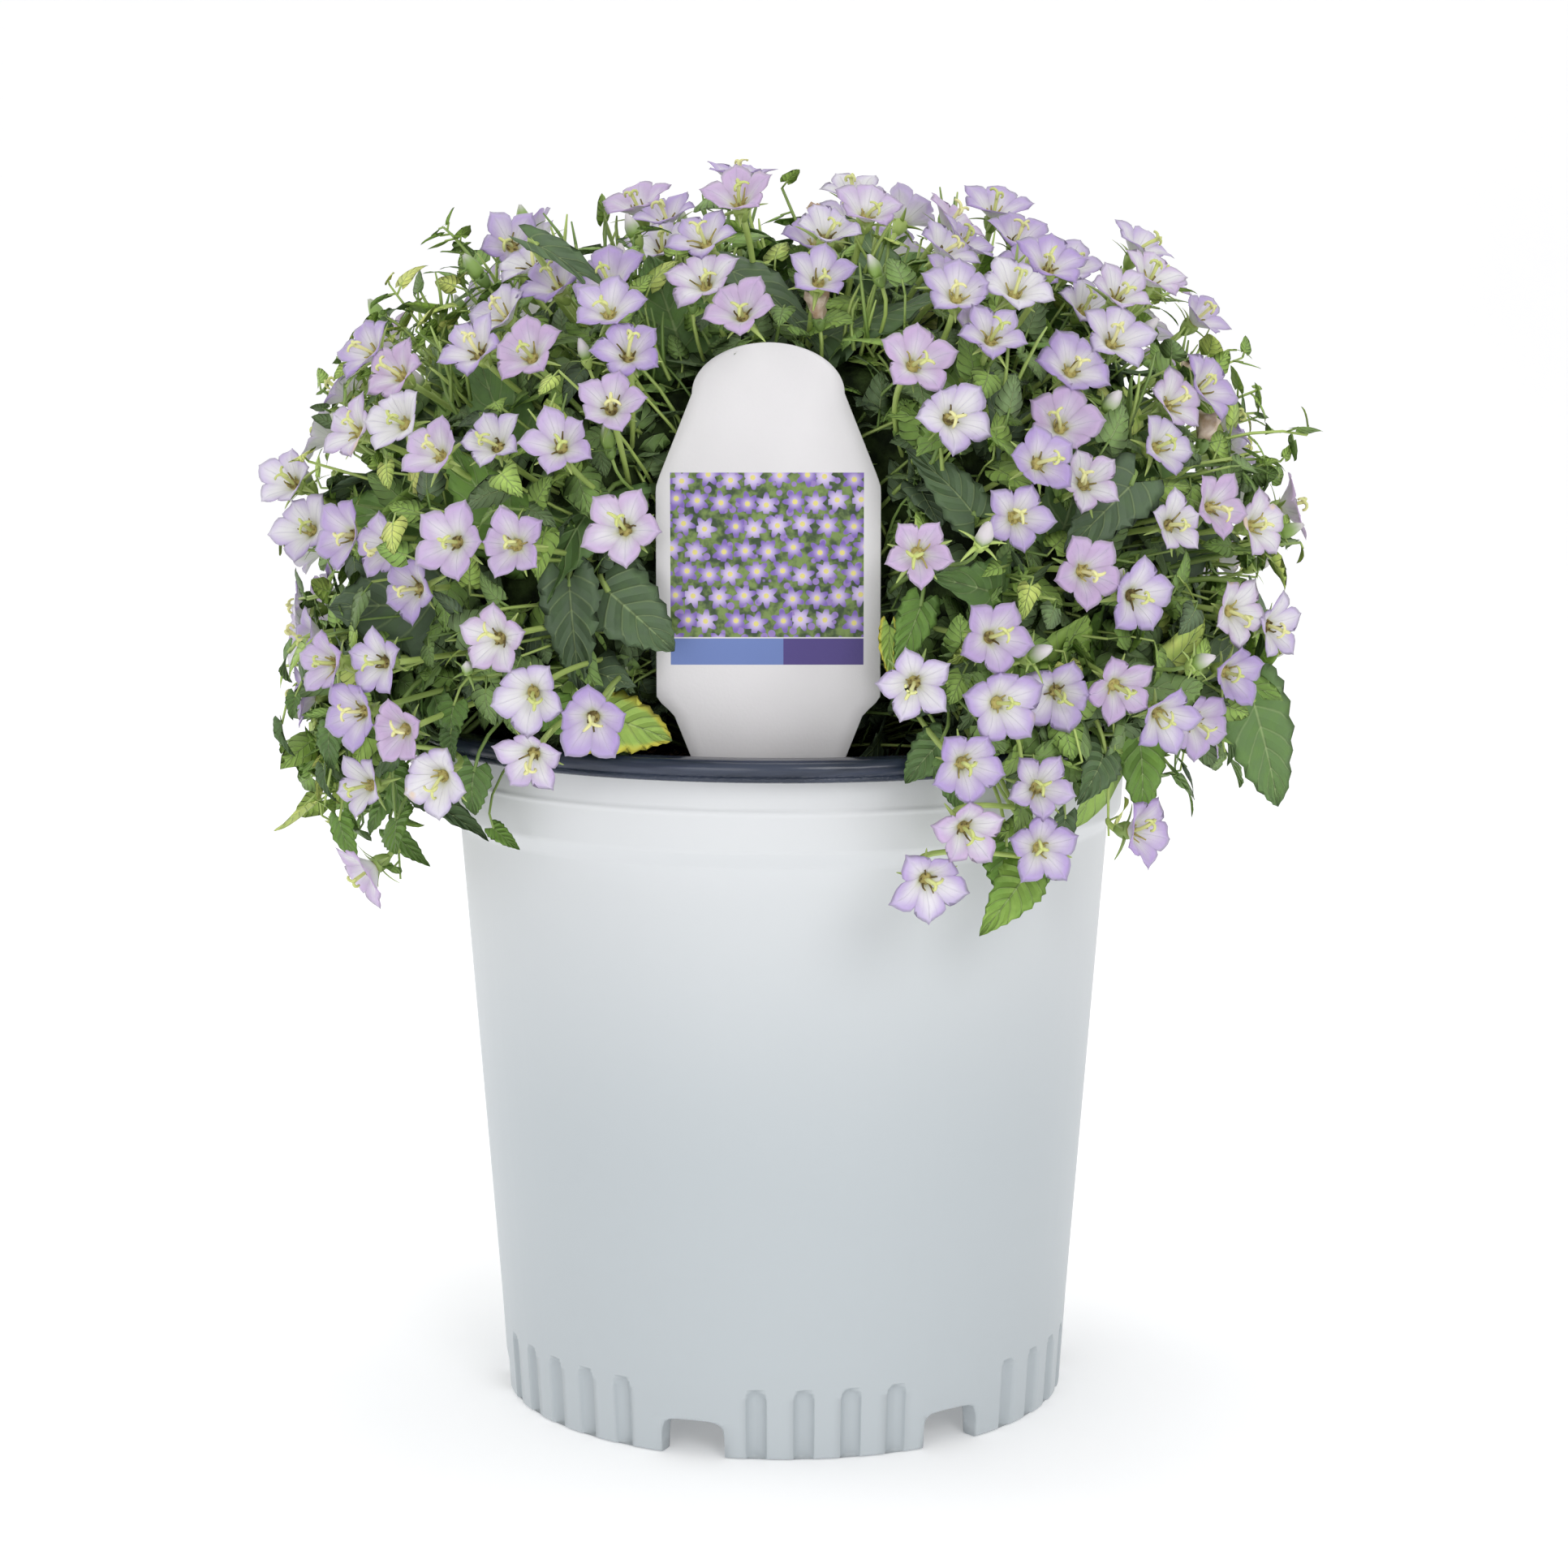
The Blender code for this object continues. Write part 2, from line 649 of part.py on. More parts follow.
def build_pot(collection, material):
    """The shell: floor, wall, collar and rolled rim, then flutes, notches and drain holes cut from it."""
    top_wall = POT_HEIGHT - RIM_BAND
    profile = (
        (0, FLOOR_UNDER + FLOOR_THICKNESS),
        (FOOT_BORE, FLOOR_UNDER + FLOOR_THICKNESS),
        (WALL_LOW_RADIUS - WALL - 1.6 * mm, WALL_LOW),
        (WALL_TOP_RADIUS - WALL, COLLAR_FOOT),
        (COLLAR_RADIUS - WALL, COLLAR_FOOT + 6 * mm),
        (COLLAR_RADIUS - WALL, POT_HEIGHT - 1 * mm),
        (RIM_BORE + 1 * mm, POT_HEIGHT),
        (RIM_RADIUS - 1.2 * mm, POT_HEIGHT),
        (RIM_RADIUS, POT_HEIGHT - 1.4 * mm),
        (RIM_RADIUS - 0.4 * mm, top_wall),
        (COLLAR_RADIUS, top_wall),
        (COLLAR_RADIUS, COLLAR_FOOT + 6 * mm),
        (WALL_TOP_RADIUS, COLLAR_FOOT),
        (WALL_LOW_RADIUS, WALL_LOW),
        (FOOT_RADIUS, 0),
        (FOOT_BORE, 0),
        (FOOT_BORE, FLOOR_UNDER),
        (0, FLOOR_UNDER),
    )
    pot = turned("pot", profile, POT_STEPS, collection, material)
    cutters = []
    for middle, angle, flutes in feet():
        for flute in range(flutes):
            turn = middle + (flute - (flutes - 1) / 2) * FLUTE_PITCH
            low = level(turn, FOOT_RADIUS + FLUTE_RADIUS - FLUTE_DEPTH, -1 * mm)
            high = level(turn, WALL_LOW_RADIUS + FLUTE_RADIUS, FLUTE_HEIGHT)
            cutters.append(rod(low, high, FLUTE_RADIUS, FLUTE_RADIUS, 5))
        turn = middle + (angle + NOTCH_ANGLE) / 2
        width = NOTCH_ANGLE * FOOT_RADIUS
        bm = bmesh.new()
        size = Matrix.Diagonal((width, 14 * mm, NOTCH_HEIGHT + 2 * mm, 1))
        place = Matrix.Rotation(turn, 4, "Z") @ Matrix.Translation(
            (0, -FOOT_RADIUS, (NOTCH_HEIGHT - 2 * mm) / 2)
        )
        bmesh.ops.create_cube(bm, size=1, matrix=place @ size)
        cutters.append(bm)
        drain = level(turn, DRAIN_CIRCLE, 0)
        cutters.append(rod(drain, drain + UP * 2 * FLOOR_UNDER, DRAIN_RADIUS, DRAIN_RADIUS, 8))
    cut(pot, cutters)
    shade_round(pot)
    return pot


def label_outline(margin):
    """Half outline of the label from its top down to its tip, as (half width, height)."""
    arch = LABEL_TOP - LABEL_ARCH_FOOT
    points = [
        (
            (LABEL_ARCH_HALF_WIDTH + margin) * math.sin(math.radians(a)),
            LABEL_ARCH_FOOT + (arch + margin) * math.cos(math.radians(a)),
        )
        for a in (12, 30, 50, 72, 90)
    ]
    points += [
        (LABEL_HALF_WIDTH - 0.8 * mm + margin, LABEL_SHOULDER + 1.5 * mm),
        (LABEL_HALF_WIDTH + margin, LABEL_SHOULDER - 1 * mm),
        (LABEL_HALF_WIDTH + margin, LABEL_WAIST),
        (LABEL_HALF_WIDTH - 4 * mm + margin, LABEL_NECK),
        (4 * mm + margin, LABEL_TIP + 16 * mm),
        (1 * mm + margin, LABEL_TIP - margin),
    ]
    return points


def label_shape(name, margin, collection, material):
    """The label as a filled flat outline with a thickness, standing upright."""
    curve = bpy.data.curves.new(name, "CURVE")
    curve.dimensions = "2D"
    curve.fill_mode = "BOTH"
    curve.extrude = LABEL_THICKNESS / 2 + margin
    half = label_outline(margin)
    outline = half + [(-x, z) for x, z in reversed(half)]
    spline = curve.splines.new("POLY")
    spline.points.add(len(outline) - 1)
    for point, (x, z) in zip(spline.points, outline):
        point.co = (x, z, 0, 1)
    spline.use_cyclic_u = True
    made = bpy.data.objects.new(name, curve)
    collection.objects.link(made)
    made.matrix_world = Matrix.Translation((LABEL_X, LABEL_Y, 0)) @ Matrix.Rotation(math.pi / 2, 4, "X")
    return as_mesh(made, name, collection, material)


def soil_bump(x, y):
    """Crumbs of bark and peat, as a sum of waves."""
    wave = math.sin(x / (3.1 * mm)) * math.sin(y / (2.7 * mm) + 1)
    wave += 0.8 * math.sin((x + y) / (4.3 * mm) + 2) * math.sin((x - y) / (3.7 * mm))
    return SOIL_BUMP * wave


def build_soil(collection, material):
    """The root ball, a little clear of the pot, with a hole for the crown and a slot for the label."""
    inner_top = COLLAR_RADIUS - WALL - GAP
    rings = (22, 42, 60, 76)
    profile = [(0, SOIL_LEVEL + 2 * mm)]
    profile += [(r * mm, SOIL_LEVEL + 2 * mm * (1 - r / 76)) for r in rings]
    profile += [
        (inner_top - 0.4 * mm, SOIL_LEVEL - 1 * mm),
        (inner_top - 0.2 * mm, COLLAR_FOOT + 6.5 * mm),
        (WALL_TOP_RADIUS - WALL - GAP - 0.4 * mm, COLLAR_FOOT),
        (WALL_LOW_RADIUS - WALL - 2.2 * mm - GAP, WALL_LOW),
        (FOOT_BORE - 1.2 * mm, FLOOR_UNDER + FLOOR_THICKNESS + GAP),
        (0, FLOOR_UNDER + FLOOR_THICKNESS + GAP),
    ]
    soil = turned("soil", profile, SOIL_STEPS, collection, material)
    for vertex in soil.data.vertices:
        if vertex.co.z > SOIL_LEVEL - 0.5 * mm:
            vertex.co.z += soil_bump(vertex.co.x, vertex.co.y)
    hole_radius = CROWN_RADIUS + CROWN_CLEARANCE
    hole = rod(UP * (CROWN_FOOT - GAP), UP * POT_HEIGHT, hole_radius, hole_radius, CROWN_SIDES)
    slot = label_shape("slot", SLOT_CLEARANCE, collection, None)
    slot_bm = bmesh.new()
    slot_bm.from_mesh(slot.data)
    bpy.data.objects.remove(slot)
    cut(soil, [hole, slot_bm])
    shade_round(soil)
    return soil


def lens(outline, under, over):
    """A sphere with only an equator, which is moved to the outline, and poles moved to the two points.

    It makes a closed blade whose edge is the outline and whose faces meet at the two points.
    """
    count = len(outline)
    bm = bmesh.new()
    bmesh.ops.create_uvsphere(bm, u_segments=count, v_segments=2, radius=1)
    for vertex in bm.verts:
        if abs(vertex.co.z) > 0.5:
            vertex.co = over if vertex.co.z > 0 else under
            continue
        turn = math.atan2(vertex.co.y, vertex.co.x) - math.pi / 2
        vertex.co = outline[round(turn / math.tau * count) % count]
    return bm


def placed(bm, base, along, face):
    """Puts a shape at its base, with its X along one direction and its Z along another."""
    turn = Matrix((along, face.cross(along), face)).transposed().to_4x4()
    bm.transform(Matrix.Translation(base) @ turn)
    return bm


def bloom_shape(bloom):
    """A shallow five-lobed bell, from its base at the stalk to the tips of its lobes."""
    outline = []
    for step in range(2 * LOBES):
        turn = step * math.pi / LOBES
        is_tip = step % 2 == 0
        reach = bloom.radius * (1 if is_tip else BLOOM_NOTCH)
        height = bloom.radius * (BLOOM_TIP_HEIGHT if is_tip else BLOOM_NOTCH_HEIGHT)
        outline.append(Vector((reach * math.cos(turn), reach * math.sin(turn), height)))
    side = Matrix.Rotation(bloom.roll, 3, bloom.axis) @ bloom.axis.orthogonal().normalized()
    bm = lens(outline, Vector((0, 0, 0)), Vector((0, 0, BLOOM_THICKNESS)))
    return placed(bm, bloom.base, side, bloom.axis)


def leaf_shape(leaf, width=1.0):
    """A toothed heart-shaped blade that tapers to its stalk, thickest on the midrib."""
    right = [(along, -across) for along, across in LEAF_HALF]
    outline = []
    for along, across in ((0, 0), *right, (1, 0), *reversed(LEAF_HALF)):
        arch = 0.1 + 0.22 * abs(across) - 0.14 * (2 * along - 0.9) ** 2
        outline.append(Vector((along, across * width, arch if along else 0)) * leaf.length)
    middle = Vector((LEAF_MIDDLE, 0, 0.05)) * leaf.length
    half = Vector((0, 0, LEAF_THICKNESS / 2))
    return placed(lens(outline, middle - half, middle + half), leaf.base, leaf.along, leaf.face)


def rod(low, high, low_radius, high_radius, sides):
    """A cone or rod from one point to another, as a bmesh."""
    axis = high - low
    turn = axis.to_track_quat("Z", "Y").to_matrix().to_4x4()
    bm = bmesh.new()
    bmesh.ops.create_cone(
        bm,
        cap_ends=True,
        segments=sides,
        radius1=low_radius,
        radius2=high_radius,
        depth=axis.length,
        matrix=Matrix.Translation((low + high) / 2) @ turn,
    )
    return bm


def core_solid(collection, material):
    """The dense inside of the bush: a lumpy sphere shaped to the dome."""
    bm = bmesh.new()
    bmesh.ops.create_icosphere(bm, subdivisions=3, radius=1)
    for vertex in bm.verts:
        azimuth = math.atan2(vertex.co.x, -vertex.co.y)
        lift = math.asin(max(-1.0, min(1.0, vertex.co.z)))
        lump = CORE_LUMP * math.sin(5 * azimuth + 3 * lift) * math.sin(4 * lift + 2 * azimuth)
        point = dome_point(azimuth, lift, CORE_SCALE + (lump / DOME_RADIUS if lift > 0 else 0))
        vertex.co = point
    return object_of("foliage", bm, collection, material)


def joined(obj, parts):
    """The object and its parts as one body, by one Boolean union. Sealed hollows and scraps go."""
    if len(parts.objects):
        modifier = obj.modifiers.new("Join", "BOOLEAN")
        modifier.operation = "UNION"
        modifier.operand_type = "COLLECTION"
        modifier.collection = parts
        modifier.solver = "MANIFOLD"
    bpy.context.view_layer.update()
    graph = bpy.context.evaluated_depsgraph_get()
    mesh = bpy.data.meshes.new_from_object(obj.evaluated_get(graph))
    obj.modifiers.clear()
    for part in list(parts.objects):
        bpy.data.objects.remove(part)
    bm = bmesh.new()
    bm.from_mesh(mesh)
    bpy.data.meshes.remove(mesh)
    keep_largest(bm, obj.name)
    materials = list(obj.data.materials)
    bm.to_mesh(obj.data)
    bm.free()
    obj.data.materials.clear()
    for material in materials:
        obj.data.materials.append(material)
    return obj


def keep_largest(bm, name):
    """Keeps the largest connected skin of the mesh."""
    bm.verts.ensure_lookup_table()
    seen, islands = set(), []
    for vertex in bm.verts:
        if vertex in seen:
            continue
        island, queue = [], [vertex]
        seen.add(vertex)
        while queue:
            here = queue.pop()
            island.append(here)
            for edge in here.link_edges:
                other = edge.other_vert(here)
                if other not in seen:
                    seen.add(other)
                    queue.append(other)
        islands.append(island)
    islands.sort(key=len)
    if len(islands) > 1:
        print(name, "drops", [len(island) for island in islands[:-1]])
    for island in islands[:-1]:
        bmesh.ops.delete(bm, geom=island, context="VERTS")


def tree_of(obj):
    """The evaluated object's triangles, for the clearance tests."""
    graph = bpy.context.evaluated_depsgraph_get()
    return BVHTree.FromObject(obj, graph, epsilon=CLEARANCE)


def build_blooms(blooms, collection, material):
    """One body for each group of flowers that touch."""
    groups = {}
    for bloom in blooms:
        groups.setdefault(bloom.group, []).append(bloom)
    made = []
    parts = new_collection("bloom parts")
    for number, members in enumerate(groups.values(), 1):
        first = object_of(f"blooms_{number:02d}", bloom_shape(members[0]), collection, material)
        for bloom in members[1:]:
            object_of("bloom", bloom_shape(bloom), parts)
        made.append(joined(first, parts))
    bpy.data.collections.remove(parts)
    return made


class Sprig:
    """Collects the shapes of the green body. Nothing in it crosses another piece, and blades stay apart."""

    def __init__(self, neighbours):
        self.neighbours = [tree_of(obj) for obj in neighbours]
        self.placed = []
        self.parts = new_collection("foliage parts")

    def add(self, bm, apart=False):
        """Takes a shape, unless it crosses another piece or, if it is to be apart, another shape."""
        own = BVHTree.FromBMesh(bm, epsilon=CLEARANCE)
        others = self.neighbours + self.placed if apart else self.neighbours
        if any(own.overlap(tree) for tree in others):
            bm.free()
            return False
        self.placed.append(own)
        object_of("sprig part", bm, self.parts)
        return True

    def add_stalk(self, bloom):
        """A stalk that widens to a cup, straight from its start, or bent behind the flower."""
        top = bloom.base - bloom.axis * GAP
        neck = bloom.base - bloom.axis * NECK
        if (top - bloom.start).angle(bloom.axis) < STRAIGHT:
            if self.add(rod(bloom.start, top, STALK_RADIUS, CUP_RADIUS, 3)):
                return True
        cup = rod(neck - bloom.axis * STALK_RADIUS, top, STALK_RADIUS, CUP_RADIUS, 3)
        for shift in (0, 9 * mm, -9 * mm, 18 * mm, -18 * mm):
            start = bloom.start + Vector((0, 0, shift))
            lower = rod(start, neck, STALK_RADIUS, STALK_RADIUS, 3)
            if not self.crosses(lower) and not self.crosses(cup):
                return self.add(lower) and self.add(cup)
            lower.free()
        cup.free()
        return False

    def crosses(self, bm):
        own = BVHTree.FromBMesh(bm, epsilon=CLEARANCE)
        return any(own.overlap(tree) for tree in self.neighbours)

    def add_stem(self, points, radii):
        """Three-sided rods from point to point, each run on a little past its joint."""
        for low, high, low_radius, high_radius in zip(points, points[1:], radii, radii[1:]):
            onward = (high - low).normalized() * (0.6 * high_radius)
            if not self.add(rod(low, high + onward, low_radius, high_radius, 3)):
                print("stem left out at", [round(v / mm) for v in low])


def build_foliage(blooms, trails, neighbours, collection, material):
    """Core, crown, stalks with cups, shoots and leaves, fused."""
    sprig = Sprig(neighbours)
    core = core_solid(collection, material)
    crown_top = CROWN_RADIUS * CROWN_FLARE
    sprig.add(rod(UP * CROWN_FOOT, UP * DOME_LEVEL, CROWN_RADIUS, crown_top, CROWN_SIDES))
    bare = 0
    for bloom in blooms:
        bare += not sprig.add_stalk(bloom)
    for path in trails:
        sprig.add_stem(path, [TRAIL_RADIUS * share for share in TRAIL_TAPER])
    for base, tip, width, (azimuth, lift) in MARKED_LEAVES:
        base, tip = Vector(base) * mm, Vector(tip) * mm
        along = (tip - base).normalized()
        face = facing(math.radians(azimuth), math.radians(lift))
        face = (face - along * face.dot(along)).normalized()
        length = (tip - base).length
        leaf = Leaf(base, along, face, length)
        if not sprig.add(leaf_shape(leaf, width=width * mm / (LEAF_FRONT_WIDTH * length))):
            print("large leaf left out at", [round(v / mm) for v in base])
        sprig.add_stem([stalk_start(base), base + along * (0.12 * length)], [STALK_RADIUS] * 2)
    shoots, leaves = plan_shoots(blooms)
    for path in shoots:
        sprig.add_stem(path.points, path.radii)
    for leaf in leaves + plan_trail_leaves(trails, blooms):
        sprig.add(leaf_shape(leaf))
    blades = 0
    for number in range(LEAVES):
        blades += any(sprig.add(leaf_shape(leaf), apart=True) for leaf in leaf_choices(number, blooms))
    print(blades, "leaves on the dome,", len(shoots), "shoots,", bare, "flowers with no stalk of their own")
    foliage = joined(core, sprig.parts)
    bpy.data.collections.remove(sprig.parts)
    return foliage


def main():
    clear_scene()
    plant = new_collection("Potted Carpathian bellflower")
    pot_plastic = new_material("pot plastic", (0.69, 0.77, 0.82), 0.4)
    peat = new_material("peat", (0.16, 0.09, 0.05), 0.95)
    card = new_material("label plastic", (0.9, 0.9, 0.89), 0.45)
    leaf_green = new_material("leaf green", (0.1, 0.2, 0.06), 0.6)
    petal = new_material("petal lilac", (0.62, 0.5, 0.82), 0.55)

    trails = trailing_paths()
    blooms = plan_blooms(trails)
    heads = build_blooms(blooms, plant, petal)
    pot = build_pot(plant, pot_plastic)
    soil = build_soil(plant, peat)
    label = label_shape("label", 0, plant, card)
    build_foliage(blooms, trails, [pot, soil, label, *heads], plant, leaf_green)
    print(len(blooms), "blooms in", len(heads), "groups")
    for obj in plant.objects:
        print(obj.name, len(obj.data.polygons))


main()
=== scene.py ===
# A bellflower in its nursery pot: smooth pot, crumbly soil, printed label, leafy dome and open bells.
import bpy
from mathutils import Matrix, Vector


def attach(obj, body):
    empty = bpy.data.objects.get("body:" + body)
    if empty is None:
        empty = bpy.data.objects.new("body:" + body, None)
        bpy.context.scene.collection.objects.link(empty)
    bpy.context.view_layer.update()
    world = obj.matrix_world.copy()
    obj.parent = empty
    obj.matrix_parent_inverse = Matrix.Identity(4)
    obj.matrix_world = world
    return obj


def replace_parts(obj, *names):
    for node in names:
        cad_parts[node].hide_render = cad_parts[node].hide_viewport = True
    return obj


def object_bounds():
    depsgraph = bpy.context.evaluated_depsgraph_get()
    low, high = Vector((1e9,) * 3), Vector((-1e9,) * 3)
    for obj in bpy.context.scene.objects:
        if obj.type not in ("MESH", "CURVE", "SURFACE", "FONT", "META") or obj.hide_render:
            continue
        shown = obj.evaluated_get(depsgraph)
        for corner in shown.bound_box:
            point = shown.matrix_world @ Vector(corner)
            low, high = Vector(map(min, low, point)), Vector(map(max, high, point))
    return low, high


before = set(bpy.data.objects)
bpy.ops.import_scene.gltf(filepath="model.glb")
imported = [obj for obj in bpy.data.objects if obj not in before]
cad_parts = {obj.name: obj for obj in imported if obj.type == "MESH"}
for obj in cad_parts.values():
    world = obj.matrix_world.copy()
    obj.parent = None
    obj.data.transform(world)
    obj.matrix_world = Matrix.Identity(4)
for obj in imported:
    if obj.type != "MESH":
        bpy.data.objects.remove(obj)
modelBox = [list(corner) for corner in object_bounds()]

import math
import random

import bpy
import numpy as np

mm = 0.001
goldenAngle = math.radians(137.508)
draw = np.random.default_rng(11)
up = np.array([0.0, 0.0, 1.0])
boxLow, boxHigh = np.array(modelBox)


# Small tools on arrays of vectors

def unit(vectors):
    return vectors / np.maximum(np.linalg.norm(vectors, axis=-1, keepdims=True), 1e-12)


def squared(vectors, axes):  # the part of each vector that is square to its axis, at unit length
    return unit(vectors - axes * (vectors * axes).sum(-1, keepdims=True))


def across(vectors):  # a unit vector square to each
    other = np.where(np.abs(vectors[..., 2:]) < 0.8, up, np.array([1.0, 0.0, 0.0]))
    return unit(np.cross(vectors, other))


def swing(vectors, axes, angles):  # each vector, square to its axis, turned about it
    return vectors * np.cos(angles)[..., None] + np.cross(axes, vectors) * np.sin(angles)[..., None]


def ringPoint(azimuth, radius, height):  # azimuth is round from the front
    return np.stack(np.broadcast_arrays(radius * np.sin(azimuth), -radius * np.cos(azimuth), height), -1)


def facing(azimuth, lift):  # lift is above level
    return ringPoint(azimuth, np.cos(lift), np.sin(lift))


def fromAxis(points, base, axis):  # how far each point is along an axis, and how far off it
    away = points - base
    ahead = (away * axis).sum(-1)
    return ahead, np.sqrt(np.maximum((away**2).sum(-1) - ahead**2, 0))


def smooth(value):  # 3 v^2 - 2 v^3 between 0 and 1
    value = np.clip(value, 0, 1)
    return value * value * (3 - 2 * value)


def bend(first, middle, last, count):  # quadratic curve: (1-t)^2 a + 2 t (1-t) b + t^2 c
    t = np.linspace(0, 1, count)[:, None]
    return (1 - t) ** 2 * first[:, None] + 2 * t * (1 - t) * middle[:, None] + t * t * last[:, None]


def skin(name, rings, material, slot, ends=None, **fields):
    # Rings of points, rings[copy, ring, side], joined by quads and closed at both ends by a fan.
    # A field is one number for each copy, or an array that spreads over copies, rings and sides
    copies, ringCount, sides = rings.shape[:3]
    if ends is None:
        ends = np.stack([rings[:, 0].mean(1), rings[:, -1].mean(1)], 1)
    points = np.clip(np.concatenate([rings.reshape(copies, -1, 3), ends], 1), boxLow, boxHigh)
    ring = np.arange(sides)
    nextSide = (ring + 1) % sides
    rows = np.arange(ringCount - 1)[:, None] * sides
    quads = np.stack([rows + ring, rows + nextSide, rows + nextSide + sides, rows + ring + sides], -1)
    lastRow = (ringCount - 1) * sides
    pole = np.full(sides, ringCount * sides)
    fans = np.concatenate([np.stack([nextSide, ring, pole], -1),
                           np.stack([lastRow + ring, lastRow + nextSide, pole + 1], -1)])
    corners = np.concatenate([quads.ravel(), fans.ravel()])
    corners = (corners + np.arange(copies)[:, None] * points.shape[1]).ravel()
    counts = np.tile(np.repeat([4, 3], [quads.size // 4, fans.size // 3]), copies)
    mesh = bpy.data.meshes.new(name)
    mesh.vertices.add(points.size // 3)
    mesh.vertices.foreach_set("co", points.astype(np.float32).ravel())
    mesh.loops.add(len(corners))
    mesh.loops.foreach_set("vertex_index", corners.astype(np.int32))
    mesh.polygons.add(len(counts))
    mesh.polygons.foreach_set("loop_start", (np.cumsum(counts) - counts).astype(np.int32))
    mesh.update(calc_edges=True)
    for field, values in fields.items():
        values = values[:, None, None] if values.ndim == 1 else values
        values = np.broadcast_to(values, (copies, ringCount, sides))
        poles = np.stack([values[:, 0].mean(1), values[:, -1].mean(1)], 1)
        whole = np.concatenate([values.reshape(copies, -1), poles], 1).astype(np.float32)
        mesh.attributes.new(field, "FLOAT", "POINT").data.foreach_set("value", whole.ravel())
    mesh.shade_smooth()
    mesh.materials.append(material)
    made = bpy.data.objects.new(name, mesh)
    bpy.context.scene.collection.objects.link(made)
    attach(made, "root")
    print(name, copies, "copies,", (quads.size // 2 + fans.size // 3) * copies, "triangles")
    return made


def tube(paths, radii, sides, normals=None):
    # Circles square to each path: point + radius (cos a first + sin a second)
    tangents = unit(np.gradient(paths, axis=1))
    if normals is None:
        normals = across(unit(paths[:, -1] - paths[:, 0]))
    second = unit(np.cross(tangents, normals[:, None]))
    first = np.cross(second, tangents)
    angles = np.arange(sides) * math.tau / sides
    ring = np.cos(angles)[:, None] * first[:, :, None] + np.sin(angles)[:, None] * second[:, :, None]
    return paths[:, :, None] + np.asarray(radii)[..., None, None] * ring


def turned(profile, sides, lump=None):
    # Rings round the axis from (radius, height) pairs in mm, each point moved out by its lump
    turn = np.arange(sides) * math.tau / sides
    lump = np.ones((1, len(profile), sides)) if lump is None else lump
    out, high = (np.array(profile) * mm).T[:, :, None]
    return np.stack([out * np.cos(turn) * lump, out * np.sin(turn) * lump, high * (0.7 + 0.3 * lump)], -1)


def settle(local, base, along, face, size):
    # Local points put in place: base + size (x along + y side + z face)
    frames = np.stack([along, np.cross(face, along), face], 1)
    local = np.broadcast_to(local, (len(base), *local.shape[-3:]))
    return base[:, None, None] + size[:, None, None, None] * np.einsum("nrsk,nkd->nrsd", local, frames)


class Sock:
    # A shader socket that answers to plain arithmetic
    def __init__(self, tree, socket):
        self.tree = tree
        self.socket = socket

    def node(self, kind, settings=None, inputs=None, output=0):
        made = self.tree.nodes.new(kind)
        for key, value in (settings or {}).items():
            if key == "stops":
                ramp = made.color_ramp.elements
                while len(ramp) < len(value):
                    ramp.new(1)
                for stop, (place, color) in zip(ramp, value):
                    stop.position = place
                    stop.color = color
            else:
                setattr(made, key, value)
        for key, value in (inputs or {}).items():
            if isinstance(value, Sock):
                self.tree.links.new(value.socket, made.inputs[key])
            else:
                made.inputs[key].default_value = value
        return Sock(self.tree, made.outputs[output])

    def maths(self, operation, *others):
        return self.node("ShaderNodeMath", {"operation": operation}, dict(enumerate((self, *others))))

    def __add__(self, other):
        return self.maths("ADD", other)

    def __sub__(self, other):
        return self.maths("SUBTRACT", other)

    def __rsub__(self, other):
        return self.node("ShaderNodeMath", {"operation": "SUBTRACT"}, {0: other, 1: self})

    def __mul__(self, other):
        return self.maths("MULTIPLY", other)

    def __truediv__(self, other):
        return self.maths("DIVIDE", other)

    def __pow__(self, other):
        return self.maths("POWER", other)

    def __abs__(self):
        return self.maths("ABSOLUTE")

    __radd__ = __add__
    __rmul__ = __mul__

    def rise(self, low, high):  # 0 below low, 1 above high, smooth between
        return self.node(
            "ShaderNodeMapRange", {"interpolation_type": "SMOOTHSTEP"}, {0: self, 1: low, 2: high}
        )

    def mix(self, first, second):  # this value mixes two colours
        return self.node("ShaderNodeMix", {"data_type": "RGBA"}, {0: self, 6: first, 7: second}, 2)


class Finish:
    # A material on a Principled shader
    def __init__(self, name, roughness, **constants):
        self.material = bpy.data.materials.new(name)
        self.material.use_nodes = True
        tree = self.material.node_tree
        self.shader = tree.nodes["Principled BSDF"]
        self.start = Sock(tree, None)
        for key, value in dict(constants, Roughness=roughness).items():
            self.shader.inputs[key.replace("_", " ")].default_value = value

    def field(self, name):
        return self.start.node("ShaderNodeAttribute", {"attribute_name": name}, output=2)

    def place(self):
        return self.start.node("ShaderNodeTexCoord", output=3)

    def axis(self, number):
        return self.start.node("ShaderNodeSeparateXYZ", inputs={0: self.place()}, output=number)

    def noise(self, scale, detail=3, stretch=None):
        where = self.place()
        if stretch:
            where = self.start.node("ShaderNodeMapping", inputs={0: where, 3: stretch})
        return self.start.node(
            "ShaderNodeTexNoise", inputs={"Vector": where, "Scale": scale, "Detail": detail}
        )

    def feed(self, **sockets):
        for key, value in sockets.items():
            self.start.tree.links.new(value.socket, self.shader.inputs[key.replace("_", " ")])

    def bump(self, height, distance):
        self.feed(Normal=self.start.node(
            "ShaderNodeBump", inputs={"Height": height, "Distance": distance, "Strength": 1}
        ))


def ink(red, green, blue):  # a screen colour, 0 to 255, as linear light
    return tuple((v / 255) ** 2.2 for v in (red, green, blue)) + (1,)


# Where the plant is

